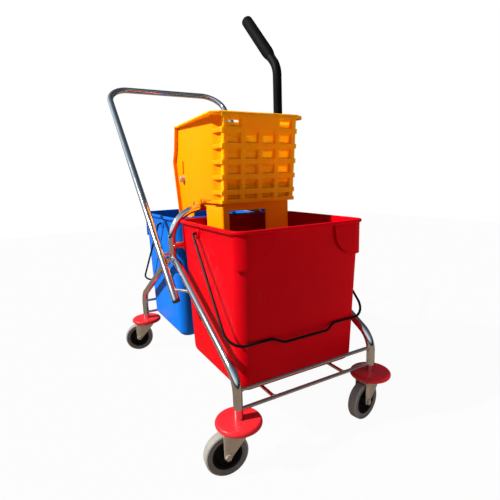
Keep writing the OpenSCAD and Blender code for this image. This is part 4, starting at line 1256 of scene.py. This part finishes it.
# Wringer legs: the lower frame of yellow plastic that hangs in the red bucket under the hopper, with
# a window in its front. It is fixed to the hopper's base, and a web runs back under each plate.
legs_low, legs_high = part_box("wringer_legs")
leg_half = legs_high.x / MM
leg_low = legs_low.z / MM
leg_front = legs_low.y / MM - hoop_y
leg_back = legs_high.y / MM - hoop_y
leg_edge = 1.2
narrow_leg = 16.0
wide_leg = 68.0
window_top = 13.0 + saddle_rise
web_h = 11.0
web_lap = 3.0
web_back = 1 - pad_half
lower = bmesh.new()
gate = [
    (-leg_half, leg_low), (-leg_half + narrow_leg, leg_low), (-leg_half + narrow_leg, base_z - window_top),
    (leg_half - wide_leg, base_z - window_top), (leg_half - wide_leg, leg_low), (leg_half, leg_low),
    (leg_half, base_z), (-leg_half, base_z),
]
at_front = Matrix.Translation((0, leg_front + plate_t, 0))
joined(lower, slab(gate, 0, plate_t, leg_edge), at_front @ stand_up)
for side in (-1, 1):
    x0, x1 = sorted((side * leg_half, side * (leg_half - plate_t)))
    joined(lower, block((x0, leg_front, leg_low), (x1, leg_back, base_z), leg_edge))
    joined(lower, block((x0, leg_back - web_lap, base_z - web_h), (x1, web_back, base_z), leg_edge))
piece("wringer_lower_frame", lower, [yellow_plastic], "wringer", ["wringer_legs"])

# Press flap: a ridged board of yellow plastic in the hopper, which squeezes the mop against the front.
# It is keyed on the drive shaft and turns with the lever.
wear("press_flap", yellow_plastic)

# Steel of the mechanism: the stop rod with its nuts, the drive shaft, the return spring and the
# lever's bolt, all of zinc plated steel. They keep the shapes of the frame.
# Their tan is the painted ground reflection of the zinc finish.
for node in ("stop_rod", "stop_rod_nuts", "return_spring", "drive_shaft", "lever_bolt"):
    wear(node, zinc)

# Lever: a steel tube with a matt black coat, bent at a knee and bolted in a hub on the shaft. A closed
# rubber grip with a tapered cuff is pushed over its upper end.
black_steel = finish(
    "black_steel", (0.003, 0.003, 0.003), drift_to=(0.005, 0.005, 0.005), rough=(0.42, 0.60),
    drift_scale=40, grain_scale=800, bump=0.18,
    rubs=(90, 0.25, (0.02, 0.02, 0.02)), Specular_IOR_Level=0.05,
)
black_rubber = finish(
    "black_rubber", (0.003, 0.003, 0.004), drift_to=(0.005, 0.005, 0.006), rough=(0.55, 0.72),
    drift_scale=50, grain_scale=600, bump=0.30,
    Specular_IOR_Level=0.03,
)
for node in ("lever_hub", "lever_tube"):
    wear(node, black_steel)
lever_r = 12.0
knee_h = 177.0
knee_angle = 43.5
upper_l = 221.0
grip_r = 16.5
grip_low = upper_l - 158.0
grip_end = upper_l + 5.0
cuff_l = 20.0
end_round = 2.5
grip_bore = lever_r + 0.1
grip_outline = [(grip_bore, grip_low - cuff_l), (lever_r + 0.7, grip_low - cuff_l)]
grip_outline += [(lever_r + 1.3, grip_low - 0.75 * cuff_l), (grip_r - 1.0, grip_low - 0.2 * cuff_l)]
grip_outline += [(grip_r - 0.2, grip_low + 0.2 * cuff_l), (grip_r, grip_low + 0.5 * cuff_l)]
grip_outline += arc((grip_r - end_round, grip_end - end_round), end_round, 0, 90, 6)
grip_outline += [(0, grip_end), (0, upper_l), (grip_bore, upper_l)]
grip = lathe(grip_outline, 64)
at_knee = Matrix.Translation((middle_of("lever_grip", "x"), shaft_at.y, shaft_at.z + knee_h))
grip.transform(at_knee @ Matrix.Rotation(-math.radians(knee_angle), 4, "X"))
piece("lever_grip_moulding", grip, [black_rubber], "lever", ["lever_grip"])
